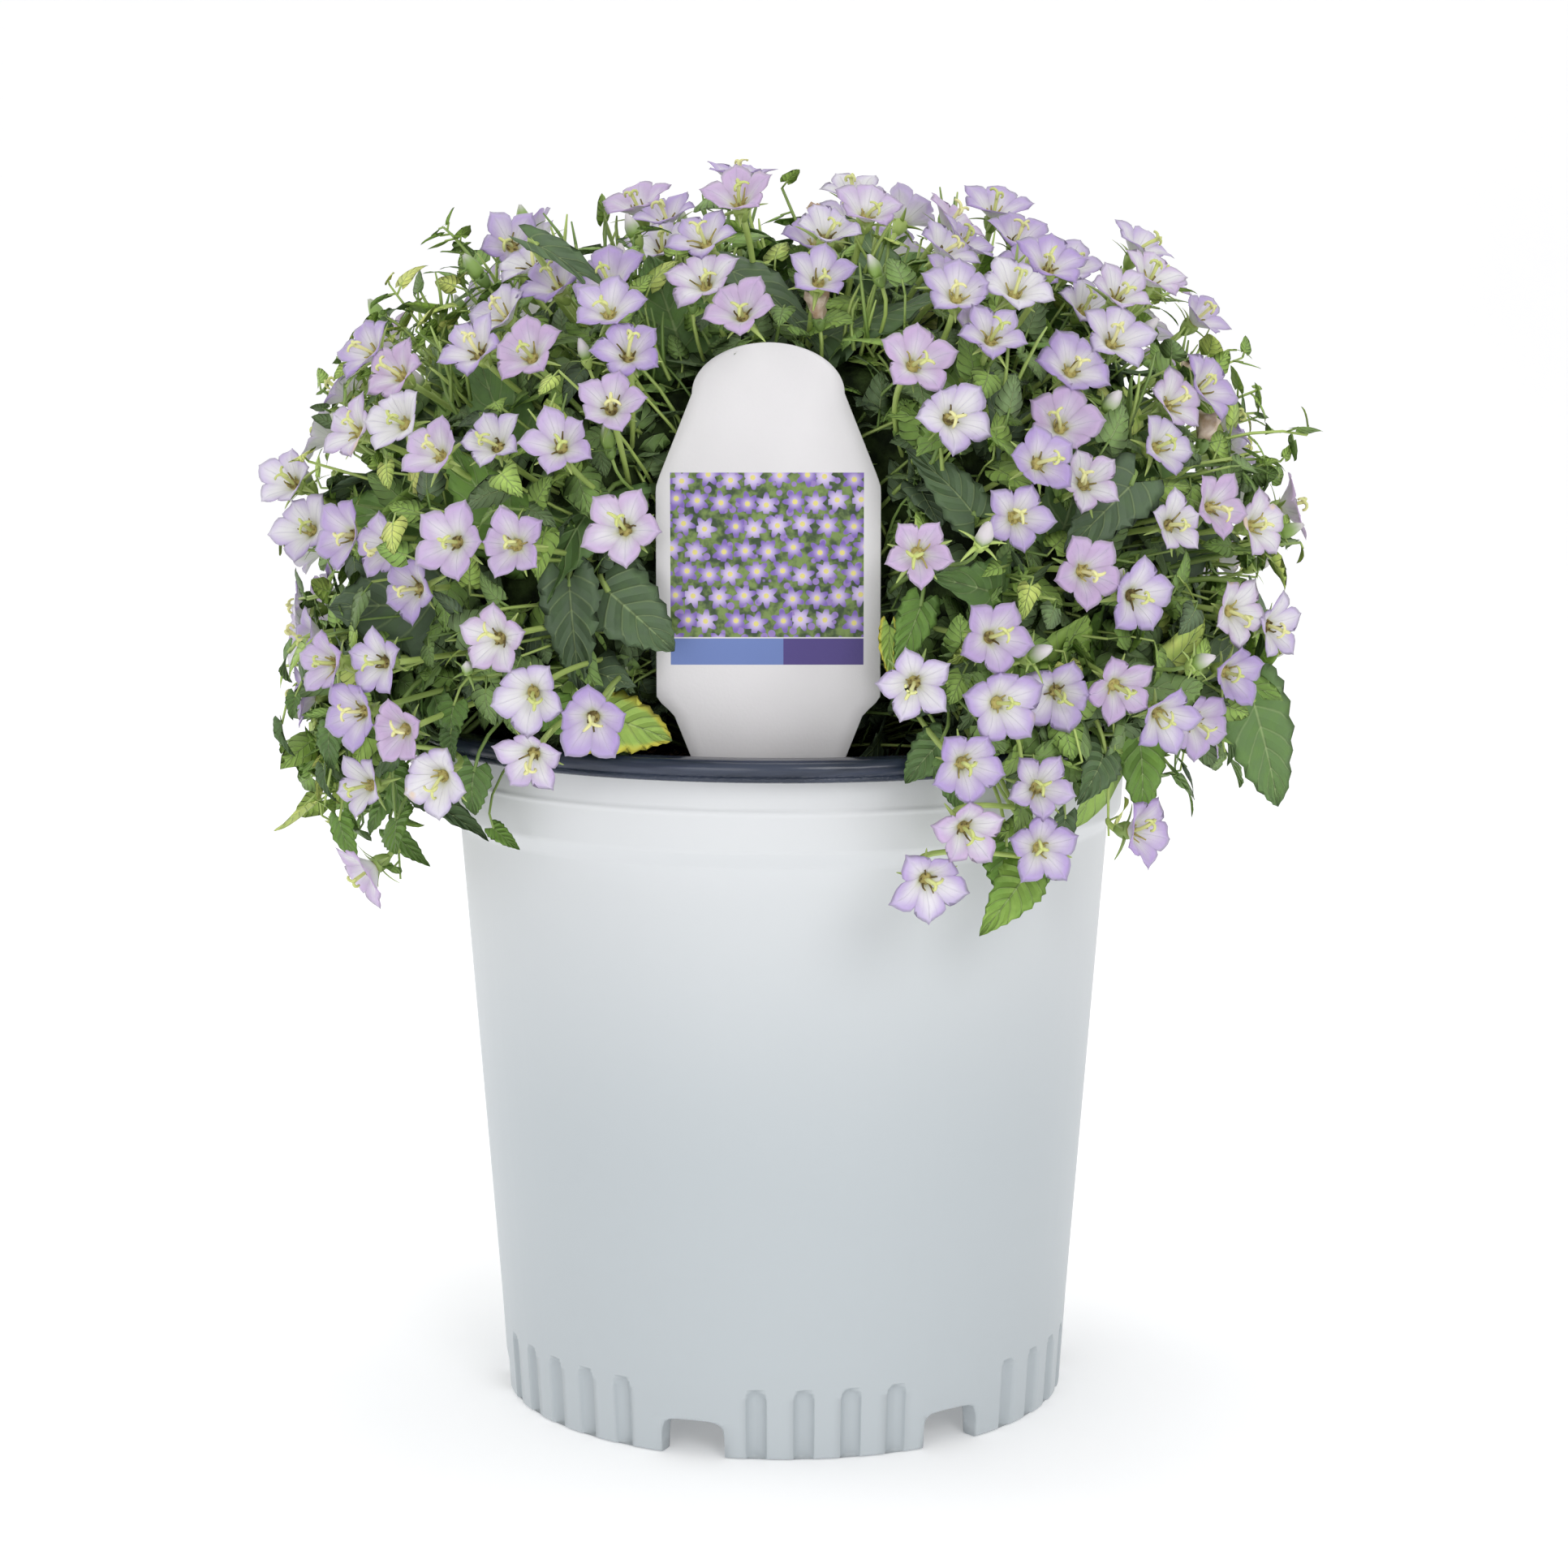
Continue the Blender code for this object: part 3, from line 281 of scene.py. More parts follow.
dome = dict(radius=121 * mm, rise=98 * mm, drop=30 * mm, level=198 * mm, power=0.87)
bay = dict(middle=-3.6 * mm, depth=-60 * mm, halfWidth=29 * mm, top=266 * mm, fade=17 * mm)


def inBay(points):  # points before the label are moved back to the bay's floor
    side = smooth((bay["halfWidth"] + bay["fade"] - np.abs(points[..., 0] - bay["middle"])) / bay["fade"])
    share = side * smooth((bay["top"] + bay["fade"] - points[..., 2]) / bay["fade"])
    moved = points.copy()
    deep = points[..., 1] < bay["depth"]
    moved[..., 1] = np.where(deep, bay["depth"] * share + points[..., 1] * (1 - share), points[..., 1])
    return moved


def domePoint(azimuth, lift, scale):
    # Superellipse turned about Z: out = radius cos^p(lift), height = rise or drop times |sin(lift)|^p
    out = dome["radius"] * scale * np.cos(lift) ** dome["power"]
    high = np.abs(np.sin(lift)) ** dome["power"] * np.where(lift > 0, dome["rise"], -dome["drop"])
    return inBay(ringPoint(azimuth, out, dome["level"] + high * scale))


def domeNormal(points):
    rise = np.where(points[..., 2] > dome["level"], dome["rise"], 2.4 * dome["drop"])
    steep = (points[..., 2] - dome["level"]) / rise**2
    flat = points[..., :2] / dome["radius"] ** 2
    return unit(np.concatenate([flat, steep[..., None]], -1))


def evenOnDome(count, least):  # equal areas down to a lowest lift, and golden angles round
    number = np.arange(count)
    return number * goldenAngle, np.arcsin(1 - (1 - math.sin(least)) * (number + 0.5) / count)


def shrink(points, scale):  # drawn in towards the dome's middle
    middle = np.array([0, 0, dome["level"]])
    return middle + (points - middle) * scale


# What the model already holds: every flower and large leaf is found from its solid's own corners

starForm = dict(
    poles=1.3 * mm, tipHeight=0.62, leastTip=8.5 * mm, mostTip=11 * mm, slack=0.05 * mm, spread=0.3 * mm,
)
leafForm = dict(
    poles=1.6 * mm, middle=(0.54, 0.05), slack=0.12 * mm, least=7 * mm, most=37 * mm, agree=4,
    half=((0.36, 0.03), (0.29, 0.22), (0.5, 0.34), (0.61, 0.24), (0.74, 0.26)),
)


def solidPoints(node):
    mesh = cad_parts[node].data
    flat = np.empty(len(mesh.vertices) * 3, np.float32)
    mesh.vertices.foreach_get("co", flat)
    return np.unique(flat.reshape(-1, 3).round(6).astype(float), axis=0)


def polePairs(points, distance):
    found = []
    for first in range(0, len(points), 400):
        gaps = np.linalg.norm(points[first : first + 400, None] - points[None], axis=2)
        found.append(np.argwhere(np.abs(gaps - distance) < 0.01 * mm) + [first, 0])
    return np.concatenate(found)


def splitAlong(points, base, axis):  # height along the axis, the rest of each vector, and its length
    away = points - base
    ahead = away @ axis
    flat = away - ahead[:, None] * axis
    return ahead, flat, np.linalg.norm(flat, axis=1)


def findFlowers():
    # A flower is a star between two poles: they give base and axis, its tips give radius and roll
    rows = []
    for node in sorted(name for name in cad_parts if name.startswith("blooms")):
        points = solidPoints(node)
        for low, high in polePairs(points, starForm["poles"]):
            axis = unit(points[high] - points[low])
            ahead, flat, out = splitAlong(points, points[low], axis)
            fits = np.abs(ahead - starForm["tipHeight"] * out) < starForm["slack"]
            fits &= (out > starForm["leastTip"]) & (out < starForm["mostTip"])
            if np.count_nonzero(fits) < 2:
                continue
            radius = np.median(out[fits])
            fits &= np.abs(out - radius) < starForm["spread"]
            side = across(axis)
            turns = np.arctan2(flat[fits] @ np.cross(axis, side), flat[fits] @ side)
            rows.append([*points[low], *axis, np.angle(np.exp(5j * turns).sum()) / 5, radius])
    rows = np.array(rows)
    return dict(base=rows[:, :3], axis=rows[:, 3:6], roll=rows[:, 6], radius=rows[:, 7])


def findLeaves():
    # A leaf's solid is a heart between two poles: its tip gives direction and length, its outline proves it
    def high(x, y):
        return 0.1 + 0.22 * y - 0.14 * (2 * x - 0.9) ** 2

    points = solidPoints("foliage")
    rows = []
    middleAlong, middleHigh = leafForm["middle"]
    outline = np.array([(x, s * y, high(x, y)) for x, y in leafForm["half"] for s in (1, -1)])
    ratio = (high(1, 0) - middleHigh) / (1 - middleAlong)
    for low, top in polePairs(points, leafForm["poles"]):
        face = unit(points[top] - points[low])
        middle = (points[top] + points[low]) / 2
        ahead, flat, out = splitAlong(points, middle, face)
        best = leafForm["agree"] - 1
        found = None
        fits = (np.abs(ahead - ratio * out) < 0.02 * out) & (out < 0.46 * leafForm["most"])
        for tip in np.flatnonzero(fits):
            length = out[tip] / (1 - middleAlong)
            if length < leafForm["least"]:
                continue
            along = flat[tip] / out[tip]
            base = middle - length * (middleAlong * along + middleHigh * face)
            spots = base + length * outline @ np.stack([along, np.cross(face, along), face])
            near = np.linalg.norm(spots[:, None] - points[None], axis=2).min(1) < leafForm["slack"]
            if np.count_nonzero(near) > best:
                best = np.count_nonzero(near)
                found = [*base, *along, *face, length]
        if found:
            rows.append(found)
    rows = np.array(rows)
    return dict(base=rows[:, :3], along=rows[:, 3:6], face=rows[:, 6:9], length=rows[:, 9])


flowers = findFlowers()
bigLeaves = findLeaves()
print("found", len(flowers["base"]), "flowers and", len(bigLeaves["base"]), "large leaves")


# Finishes

leafLooks = dict(
    small=dict(name="leafGreen", quilt=0.4, ribs=1, dull=(114, 138, 90), fresh=(132, 166, 84)),
    large=dict(name="largeLeafGreen", quilt=2.4, ribs=0.75, dull=(98, 128, 74), fresh=(112, 150, 64)),
)


def plainFinish(name, roughness, grain, limits, inks, bump=None, weight=1, fields=None, **constants):
    # Two colours, mixed by noise times its weight plus each field times its own, and bumps by a noise
    made = Finish(name, roughness, **constants)
    share = made.noise(*grain) * weight
    for field, amount in (fields or {}).items():
        share = share + made.field(field) * amount
    made.feed(Base_Color=share.rise(*limits).mix(*(ink(*one) for one in inks)))
    if bump:
        made.bump(made.noise(*bump[1:]), bump[0])
    return made.material


def petalFinish():
    # White heart to lilac rim, more so with the flower's own tint, soft veins on each lobe, a green throat
    made = Finish("petalSatin", 0.55, Subsurface_Weight=0.4, Subsurface_Scale=0.003,
                  Subsurface_Radius=(1, 1, 1), Sheen_Weight=0.1)
    reach, lobe, tint, age, pink = (made.field(name) for name in ("reach", "lobe", "tint", "age", "pink"))
    cloudy = made.noise(90, 2)
    edge = abs(lobe)
    spread = reach * 0.8 + edge * reach * 0.35 + (cloudy - 0.5) * 0.5
    lilac = (spread - (1 - tint) * 0.55).rise(0.02, 0.78)
    color = lilac.mix(ink(228, 225, 232), ink(181, 160, 209))
    rim = (reach + (tint - 0.5) * 0.3 + (cloudy - 0.5) * 0.3).rise(0.6, 1.16) * (tint * 0.8 + 0.15)
    vein = (1 - edge * 13).rise(0, 1) * 0.28 + (1 - abs(edge - 0.42) * 18).rise(0, 1) * 0.12
    vein = vein * reach.rise(0.15, 0.4) * (1 - reach).rise(0.02, 0.3)
    disc = age.rise(0.2, 0.8).mix(ink(150, 148, 78), ink(104, 88, 50))
    scorched = made.noise(110, 3) + age * 0.34 + reach * 0.2
    for share, over in (
        (rim, ink(148, 122, 190)), (pink.rise(0.55, 0.9) * lilac * 0.75, ink(194, 162, 204)),
        (vein, ink(160, 138, 188)), ((1 - reach.rise(0.16, 0.36)) * 0.7, ink(206, 208, 160)),
        (1 - reach.rise(0.12, 0.22), disc), (scorched.rise(1.12, 1.2) * 0.85, ink(220, 192, 162)),
    ):
        color = share.mix(color, over)
    made.feed(Base_Color=color)
    made.bump(cloudy + made.noise(420, 2) * 0.3 + vein, 0.0003)
    return made.material


def leafFinish(name, quilt, ribs, dull, fresh):
    # Greens by each leaf's tint, which on the dome's small and middling leaves is partly painted shade, lower
    # deep in the bush; lighter ribs and side veins, a yellow margin on the few past a tint of 1
    made = Finish(name, 0.58, Specular_IOR_Level=0.35)
    tint, v, u = (made.field(key) for key in ("tint", "along", "across"))
    greens = ((88, 106, 82), dull, fresh, (166, 198, 98), (212, 220, 122))
    stops = list(zip((0, 0.3, 0.55, 0.8, 1), (ink(*green) for green in greens)))
    cloudy = made.noise(220, 3)
    old = tint.rise(1.1, 1.3)
    shade = tint - old * 0.62 + (cloudy - 0.5) * 0.3
    color = made.start.node("ShaderNodeValToRGB", {"stops": stops}, {"Fac": shade})
    rib = (1 - abs(u) * 16).rise(0, 1)
    off = abs((v * 5.5 - abs(u) * 1.6).maths("FRACT") - 0.5)
    vein = rib * 0.6 + (1 - off * 9).rise(0, 1) * (1 - abs(u)).rise(0, 0.3) * 0.34
    color = (vein * ribs).mix(color, ink(172, 192, 134))
    margin = (abs(u) + v.rise(0.6, 1) * 0.3 + cloudy * 0.3).rise(0.75, 1.1) * old
    made.feed(Base_Color=margin.mix(color, ink(206, 200, 78)), Roughness=0.5 + cloudy * 0.25)
    made.bump(cloudy * 0.6 - vein + off * (1 - abs(u)).rise(0, 0.4) * quilt, 0.0005)
    return made.material


def potFinish():
    # Pale blue-white outside with painted shade, darker and bluer low down and lighter toward the collar,
    # slate inside and on the rim, with the faint grain of a moulding
    made = Finish("potMoulding", 0.36, Specular_IOR_Level=0.45)
    slate = made.field("slate").rise(0.4, 0.6)
    grain = made.noise(60, 4, (1, 1, 9))
    cloud = made.noise(9, 2)
    height = made.axis(2) / pot["height"]
    # painted shade: the pale colour goes darker towards the bottom and lighter towards the collar
    paintedShadePale = (height + (cloud - 0.5) * 0.15).rise(0.35, 1.3).mix(ink(180, 187, 191), ink(230, 230, 231))
    dark = grain.rise(0.3, 0.7).mix(ink(40, 47, 61), ink(57, 64, 80))
    made.feed(Base_Color=slate.mix(paintedShadePale, dark), Roughness=0.36 + cloud * 0.06 - slate * 0.16)
    rough = made.noise(700, 3, (1, 1, 2)) * slate * (1 - height.rise(0.978, 0.982))
    made.bump(grain * slate + made.noise(900, 2) * 0.25 + rough * 6, 0.00006)
    return made.material


def soilFinish():
    made = Finish("peatBrown", 0.95)
    color = made.noise(90, 4).rise(0.35, 0.65).mix(ink(58, 44, 34), ink(118, 90, 68))
    made.feed(Base_Color=made.noise(520, 2).rise(0.62, 0.7).mix(color, ink(134, 100, 76)))
    made.bump(made.noise(260, 4), 0.002)
    return made.material


# Pot: its profile is in pairs of radius and height in mm

pot = dict(
    height=171 * mm, rimRadius=92 * mm, footRadius=70.5, floorUnder=9.5 * mm, floor=2 * mm, slope=1 / 16,
    rounding=0.8 * mm, slateFrom=2 * mm, columns=120,
    under=((0.5, 9.5), (30, 9.5), (66, 9.5), (66, 0), (70.5, 0)),
    side=((72, 24), (80.6, 138), (81.1, 144.5), (84.4, 148.5), (84.9, 157.1), (85.25, 158), (84.9, 158.9),
          (85, 165.6), (85, 165.8)),
    rim=((90.8, 165.8), (91.9, 166.2), (91.9, 167), (91.3, 167.4), (91.8, 167.8), (92, 169.6), (90.7, 171),
         (85, 171), (84, 169.8)),
    inside=((83.4, 155), (79.4, 147), (68.8, 24), (66, 11.5), (0.5, 11.5)),
)
feet = dict(
    turn=math.radians(8.4), narrow=math.radians(40), wide=math.radians(54), notch=math.radians(13),
    notchHeight=9, pitch=math.radians(9.2), fluteHeight=17.6, fluteHalf=math.radians(2.0), fluteArch=3.2,
    fluteDepth=2.3 * mm, corner=5, notchSteps=(0.7, 0.85, 0.92, 0.97, 0.995, 1.005),
    fluteSteps=(-1.04, -0.96, -0.75, 0, 0.75, 0.96, 1.04), archSteps=(0, 0.4, 0.7, 0.9, 1, 1.08),
)
drains = dict(radius=4.5 * mm, circle=57 * mm, height=10.5 * mm)


def footPlan():  # angles of the notches between the feet, and of the flutes on them
    narrow = feet["turn"] + np.arange(3) * math.tau / 3
    notches, flutes = [], []
    for middles, angle, count in ((narrow, feet["narrow"], 4), (narrow + math.pi / 3, feet["wide"], 5)):
        notches += list(middles + (angle + feet["notch"]) / 2)
        flutes += list((middles[:, None] + (np.arange(count) - (count - 1) / 2) * feet["pitch"]).ravel())
    return np.array(notches)[:, None], np.array(flutes)[:, None]


def roundCorners(line, reach, steps=3):
    # Each corner of a (radius, height) line becomes a quadratic curve between points a little way off
    before, here, after = line[:-2], line[1:-1], line[2:]
    low, high = before - here, after - here
    most = 0.45 * np.minimum(np.linalg.norm(low, axis=1), np.linalg.norm(high, axis=1))
    most = np.minimum(reach, most)[:, None]
    curves = bend(here + unit(low) * most, here, here + unit(high) * most, steps)
    return np.concatenate([line[:1], curves.reshape(-1, 2), line[-1:]])


def potSkin():
    # A turned profile whose foot is lifted in the notches. Flutes go in by depth sqrt(1 - across^2 - arch^2)
    archFoot = feet["fluteHeight"] - feet["fluteArch"]
    lows = np.array([feet["notchHeight"], *(archFoot + feet["fluteArch"] * np.array(feet["archSteps"]))])
    foot = np.stack([pot["footRadius"] + lows * pot["slope"], lows], 1)
    outside = np.concatenate([pot["under"], foot, pot["side"], pot["rim"]]) * mm
    profile = np.concatenate([roundCorners(outside, pot["rounding"]), np.array(pot["inside"]) * mm])
    notches, flutes = footPlan()
    steps = np.array(feet["notchSteps"]) * feet["notch"] / 2
    columns = np.arange(pot["columns"]) * math.tau / pot["columns"]
    sides = flutes + feet["fluteHalf"] * np.array(feet["fluteSteps"])
    edges = (columns, notches - steps, notches + steps, sides)
    azimuth = np.sort(np.concatenate([edge.ravel() for edge in edges]) % math.tau)
    notched, fluted = ((azimuth - turns + math.pi) % math.tau - math.pi for turns in (notches, flutes))
    arch = np.clip(1 - np.abs(notched / (feet["notch"] / 2)) ** feet["corner"], 0, 1) ** (1 / feet["corner"])
    lift = arch.max(0) * feet["notchHeight"] * mm
    dent = ((fluted / feet["fluteHalf"]) ** 2).min(0)
    height = np.maximum(profile[:, 1:], np.minimum(lift, pot["floorUnder"]))
    isFoot = (profile[:, 0] > pot["footRadius"] * mm - pot["rounding"]) & (profile[:, 1] < 100 * mm)
    arch = np.maximum(height - archFoot * mm, 0) / (feet["fluteArch"] * mm)
    depth = feet["fluteDepth"] * np.clip(1 - dent - arch**2, 0, 1) ** 0.5 * isFoot[:, None]
    rimStart = np.argmax(profile[:, 0] > pot["rimRadius"] - pot["slateFrom"]) - 3
    slate = (np.arange(len(profile)) >= rimStart).astype(float)
    points = ringPoint(azimuth, profile[:, :1] - depth, height)[None]
    made = skin("potShell", points, potFinish(), "pot_plastic", slate=slate[None, :, None])
    for x, y, z in ringPoint(notches[:, 0], drains["circle"], drains["height"]):
        bpy.ops.mesh.primitive_cylinder_add(
            vertices=24, radius=drains["radius"], depth=4 * pot["floor"], location=(x, y, z)
        )
        cutter = bpy.context.object
        drain = made.modifiers.new("Drain", "BOOLEAN")
        drain.operation = "DIFFERENCE"
        drain.object = cutter
        bpy.context.view_layer.objects.active = made
        bpy.ops.object.modifier_apply(modifier=drain.name)
        bpy.data.objects.remove(cutter)
    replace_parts(made, "pot")


# Soil

soil = dict(
    level=160.5 * mm, crown=2 * mm, radius=82.9 * mm, columns=144, rings=44, clods=0.9 * mm,
    under=((82.9, 156), (78.9, 146), (68.3, 24), (64.6, 12.1), (1, 12.1)),
)
bark = dict(count=840, sizes=(1.2, 4.2), widths=(0.45, 0.7), heights=(0.16, 0.4))
perlite = dict(count=220, sizes=(1.0, 2.4), widths=(0.75, 1), heights=(0.6, 0.9))


def soilHeight(x, y):
    # A low crown, three waves of clods, and fine crumbs
    out = np.hypot(x, y) / soil["radius"]
    clods = np.sin(x / (3.1 * mm)) * np.sin(y / (2.7 * mm) + 1)
    clods += 0.8 * np.sin((x + y) / (4.3 * mm) + 2) * np.sin((x - y) / (3.7 * mm))
    crumbs = 0.5 * np.sin(x / (1.1 * mm) + 3 * np.sin(y / (4 * mm))) * np.sin(y / (0.9 * mm))
    return soil["level"] + soil["crown"] * (1 - out**2) + (clods + crumbs) * soil["clods"]


def soilSkin():
    # Rings of a disc lifted to the soil's height, then the turned side and foot of the root ball
    azimuth = np.arange(soil["columns"]) * math.tau / soil["columns"]
    top = ringPoint(azimuth, soil["radius"] * np.linspace(0.01, 1, soil["rings"])[:, None], 0)
    top[..., 2] = soilHeight(top[..., 0], top[..., 1])
    radius, height = (np.array(soil["under"]) * mm).T[:, :, None]
    rings = np.concatenate([top, ringPoint(azimuth, radius, height)])
    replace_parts(skin("soilBall", rings[None, ::-1], soilFinish(), "peat"), "soil")


def pebbles(name, material, count, sizes, widths, heights, rings=3, sides=6):
    # Lumpy squashed balls: latitude rings of radius (1 + noise), scattered over the top of the soil
    latitude = (np.arange(rings) + 1) / (rings + 1) * math.pi - math.pi / 2
    turn = np.arange(sides) * math.tau / sides
    lump = 1 + draw.uniform(-0.28, 0.28, (count, rings, sides))
    flat = np.cos(latitude)[:, None] * lump
    local = np.stack([flat * np.cos(turn), flat * np.sin(turn), np.sin(latitude)[:, None] * lump], -1)
    squash = [np.ones(count), draw.uniform(*widths, count), draw.uniform(*heights, count)]
    local = local * np.stack(squash, -1)[:, None, None]
    radius = (soil["radius"] - 2 * mm) * np.sqrt(draw.uniform(0, 1, count))
    azimuth = draw.uniform(0, math.tau, count)
    x, y = radius * np.sin(azimuth), radius * np.cos(azimuth)
    along = unit(facing(draw.uniform(0, math.tau, count), draw.uniform(-0.5, 0.5, count)))
    face = squared(unit(up + draw.normal(0, 0.3, (count, 3))), along)
    size = draw.uniform(*sizes, count) * mm / 2
    base = np.stack([x, y, soilHeight(x, y) + 0.25 * size], -1)
    skin(name, settle(local, base, along, face, size), material, "peat", tint=draw.uniform(0, 1, count))


potSkin()
soilSkin()
pebbles("barkChips", plainFinish(
    "barkChip", 0.9, (400, 3), (0.25, 1.25), ((88, 62, 46), (196, 154, 122)), (0.0008, 700, 3, (1, 1, 3)),
    weight=0.5, fields=dict(tint=1),
), **bark)
pebbles("perliteGrains", plainFinish(
    "perliteWhite", 0.85, (600, 3), (0.3, 0.7), ((196, 190, 182), (240, 238, 234)), (0.0006, 1200, 3),
), **perlite)


# Label

card = dict(
    x=-3.6 * mm, y=-70 * mm, thickness=0.8 * mm, top=264.6 * mm, archFoot=253 * mm, archHalf=17.5 * mm,
    shoulder=232.5 * mm, half=25.9 * mm, waist=182.7 * mm, neck=179 * mm, neckHalf=21.9 * mm, tip=118 * mm,
    tipHalf=2 * mm, edge=0.18 * mm,
)
picture = dict(
    left=-22.6 * mm, right=22 * mm, low=197 * mm, high=235 * mm, barLow=190.6 * mm, barHigh=196.8 * mm,
    barSplit=3.5 * mm, cell=5.5 * mm, flower=3.0 * mm, soft=0.1 * mm,
)


def cardHalf(height):  # half width: arch, slanted shoulders, straight sides, waist, then a long point
    share = np.clip((height - card["archFoot"]) / (card["top"] - card["archFoot"]), 0, 1)
    stops = [card["tip"], card["tip"] + 16 * mm, card["neck"], card["waist"],
             card["shoulder"] - 1 * mm, card["shoulder"] + 1.5 * mm, card["archFoot"]]
    halves = [card["tipHalf"], 4 * mm, card["neckHalf"], card["half"],
              card["half"], card["half"] - 0.8 * mm, card["archHalf"]]
    return np.where(height > card["archFoot"], card["archHalf"] * np.sqrt(1 - share**2),
                    np.interp(height, stops, halves))


def band(value, low, high):  # 1 between two edges, 0 outside
    return value.rise(low, low + picture["soft"]) * (1 - value.rise(high - picture["soft"], high))


def cardFinish():
    # Bare white plastic, a framed pattern of little rosettes on green, and two plain bars under it
    made = Finish("cardPrint", 0.38, Specular_IOR_Level=0.5)
    x = made.axis(0) - card["x"]
    z = made.axis(2)
    cell = picture["cell"]
    row = (z / cell).maths("FLOOR")
    shifted = x / cell + row * 0.5
    column = shifted.maths("FLOOR")
    spot = made.start.node("ShaderNodeCombineXYZ", inputs={0: column, 1: row, 2: 0.0})
    chance, other = (made.start.node("ShaderNodeTexWhiteNoise", {"noise_dimensions": space}, {"Vector": spot})
                     for space in ("2D", "3D"))
    px = (shifted - column - 0.5 - (chance - 0.5) * 0.34) * cell
    pz = z - (row + 0.5 + (other - 0.5) * 0.3) * cell
    angle = pz.maths("ARCTAN2", px) + chance * 6.3
    far = (px * px + pz * pz) ** 0.5 / picture["flower"]
    petal = 0.78 + (angle * 6).maths("COSINE") * 0.22
    green = made.noise(420, 4).rise(0.35, 0.65).mix(ink(44, 66, 34), ink(118, 142, 74))
    small = {"Vector": made.place(), "Scale": 330.0}
    small = made.start.node("ShaderNodeTexVoronoi", {"feature": "F1"}, small)
    green = (1 - small.rise(0.26, 0.32)).mix(green, ink(146, 122, 188))
    violet = (far + chance * 0.4).rise(0.2, 1.1).mix(ink(214, 200, 232), ink(122, 96, 180))
    pattern = (1 - (far / petal).rise(0.9, 1.05)).mix(green, violet)
    pattern = (1 - far.rise(0.16, 0.24)).mix(pattern, ink(226, 214, 128))
    inside = band(x, picture["left"], picture["right"]) * (1 - made.field("back").rise(0.4, 0.6))
    color = made.noise(30, 2).rise(0.3, 0.7).mix(ink(220, 218, 220), ink(227, 225, 227))
    color = (inside * band(z, picture["low"], picture["high"])).mix(color, pattern)
    bar = x.rise(picture["barSplit"] - picture["soft"], picture["barSplit"])
    bar = bar.mix(ink(104, 126, 186), ink(72, 58, 126))
    color = (inside * band(z, picture["barLow"], picture["barHigh"])).mix(color, bar)
    made.feed(Base_Color=color, Roughness=0.36 + made.noise(200, 2) * 0.08)
    made.bump(made.noise(1500, 2), 0.00004)
    return made.material


def cardSkin():
    # Rings across the card from tip to top: front face, rounded edge, back face
    height = np.concatenate([
        np.linspace(card["tip"], card["archFoot"], 90),
        card["archFoot"] + (card["top"] - card["archFoot"]) * np.sin(np.linspace(0.02, 1, 50) * math.pi / 2),
    ])
    half = cardHalf(height)
    half[-1] = half[-2] * 0.3
    flat = np.maximum(half - card["edge"], 0.2 * half)
    shares = np.linspace(-1, 1, 13)
    front, back = ([(share, side) for share in shares[::-side]] for side in (-1, 1))
    x, y = np.array([*front, (1, -0.5), (1, 0.5), *back, (-1, 0.5), (-1, -0.5)]).T
    wide = card["x"] + x * np.where(np.abs(y) < 1, half[:, None], flat[:, None])
    deep = card["y"] + y * card["thickness"] / 2
    points = np.stack(np.broadcast_arrays(wide, deep, height[:, None]), -1)
    isBack = (y > 0).astype(float)
    made = skin("stakeLabel", points[None], cardFinish(), "label_plastic", back=isBack[None, None])
    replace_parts(made, "label")


cardSkin()


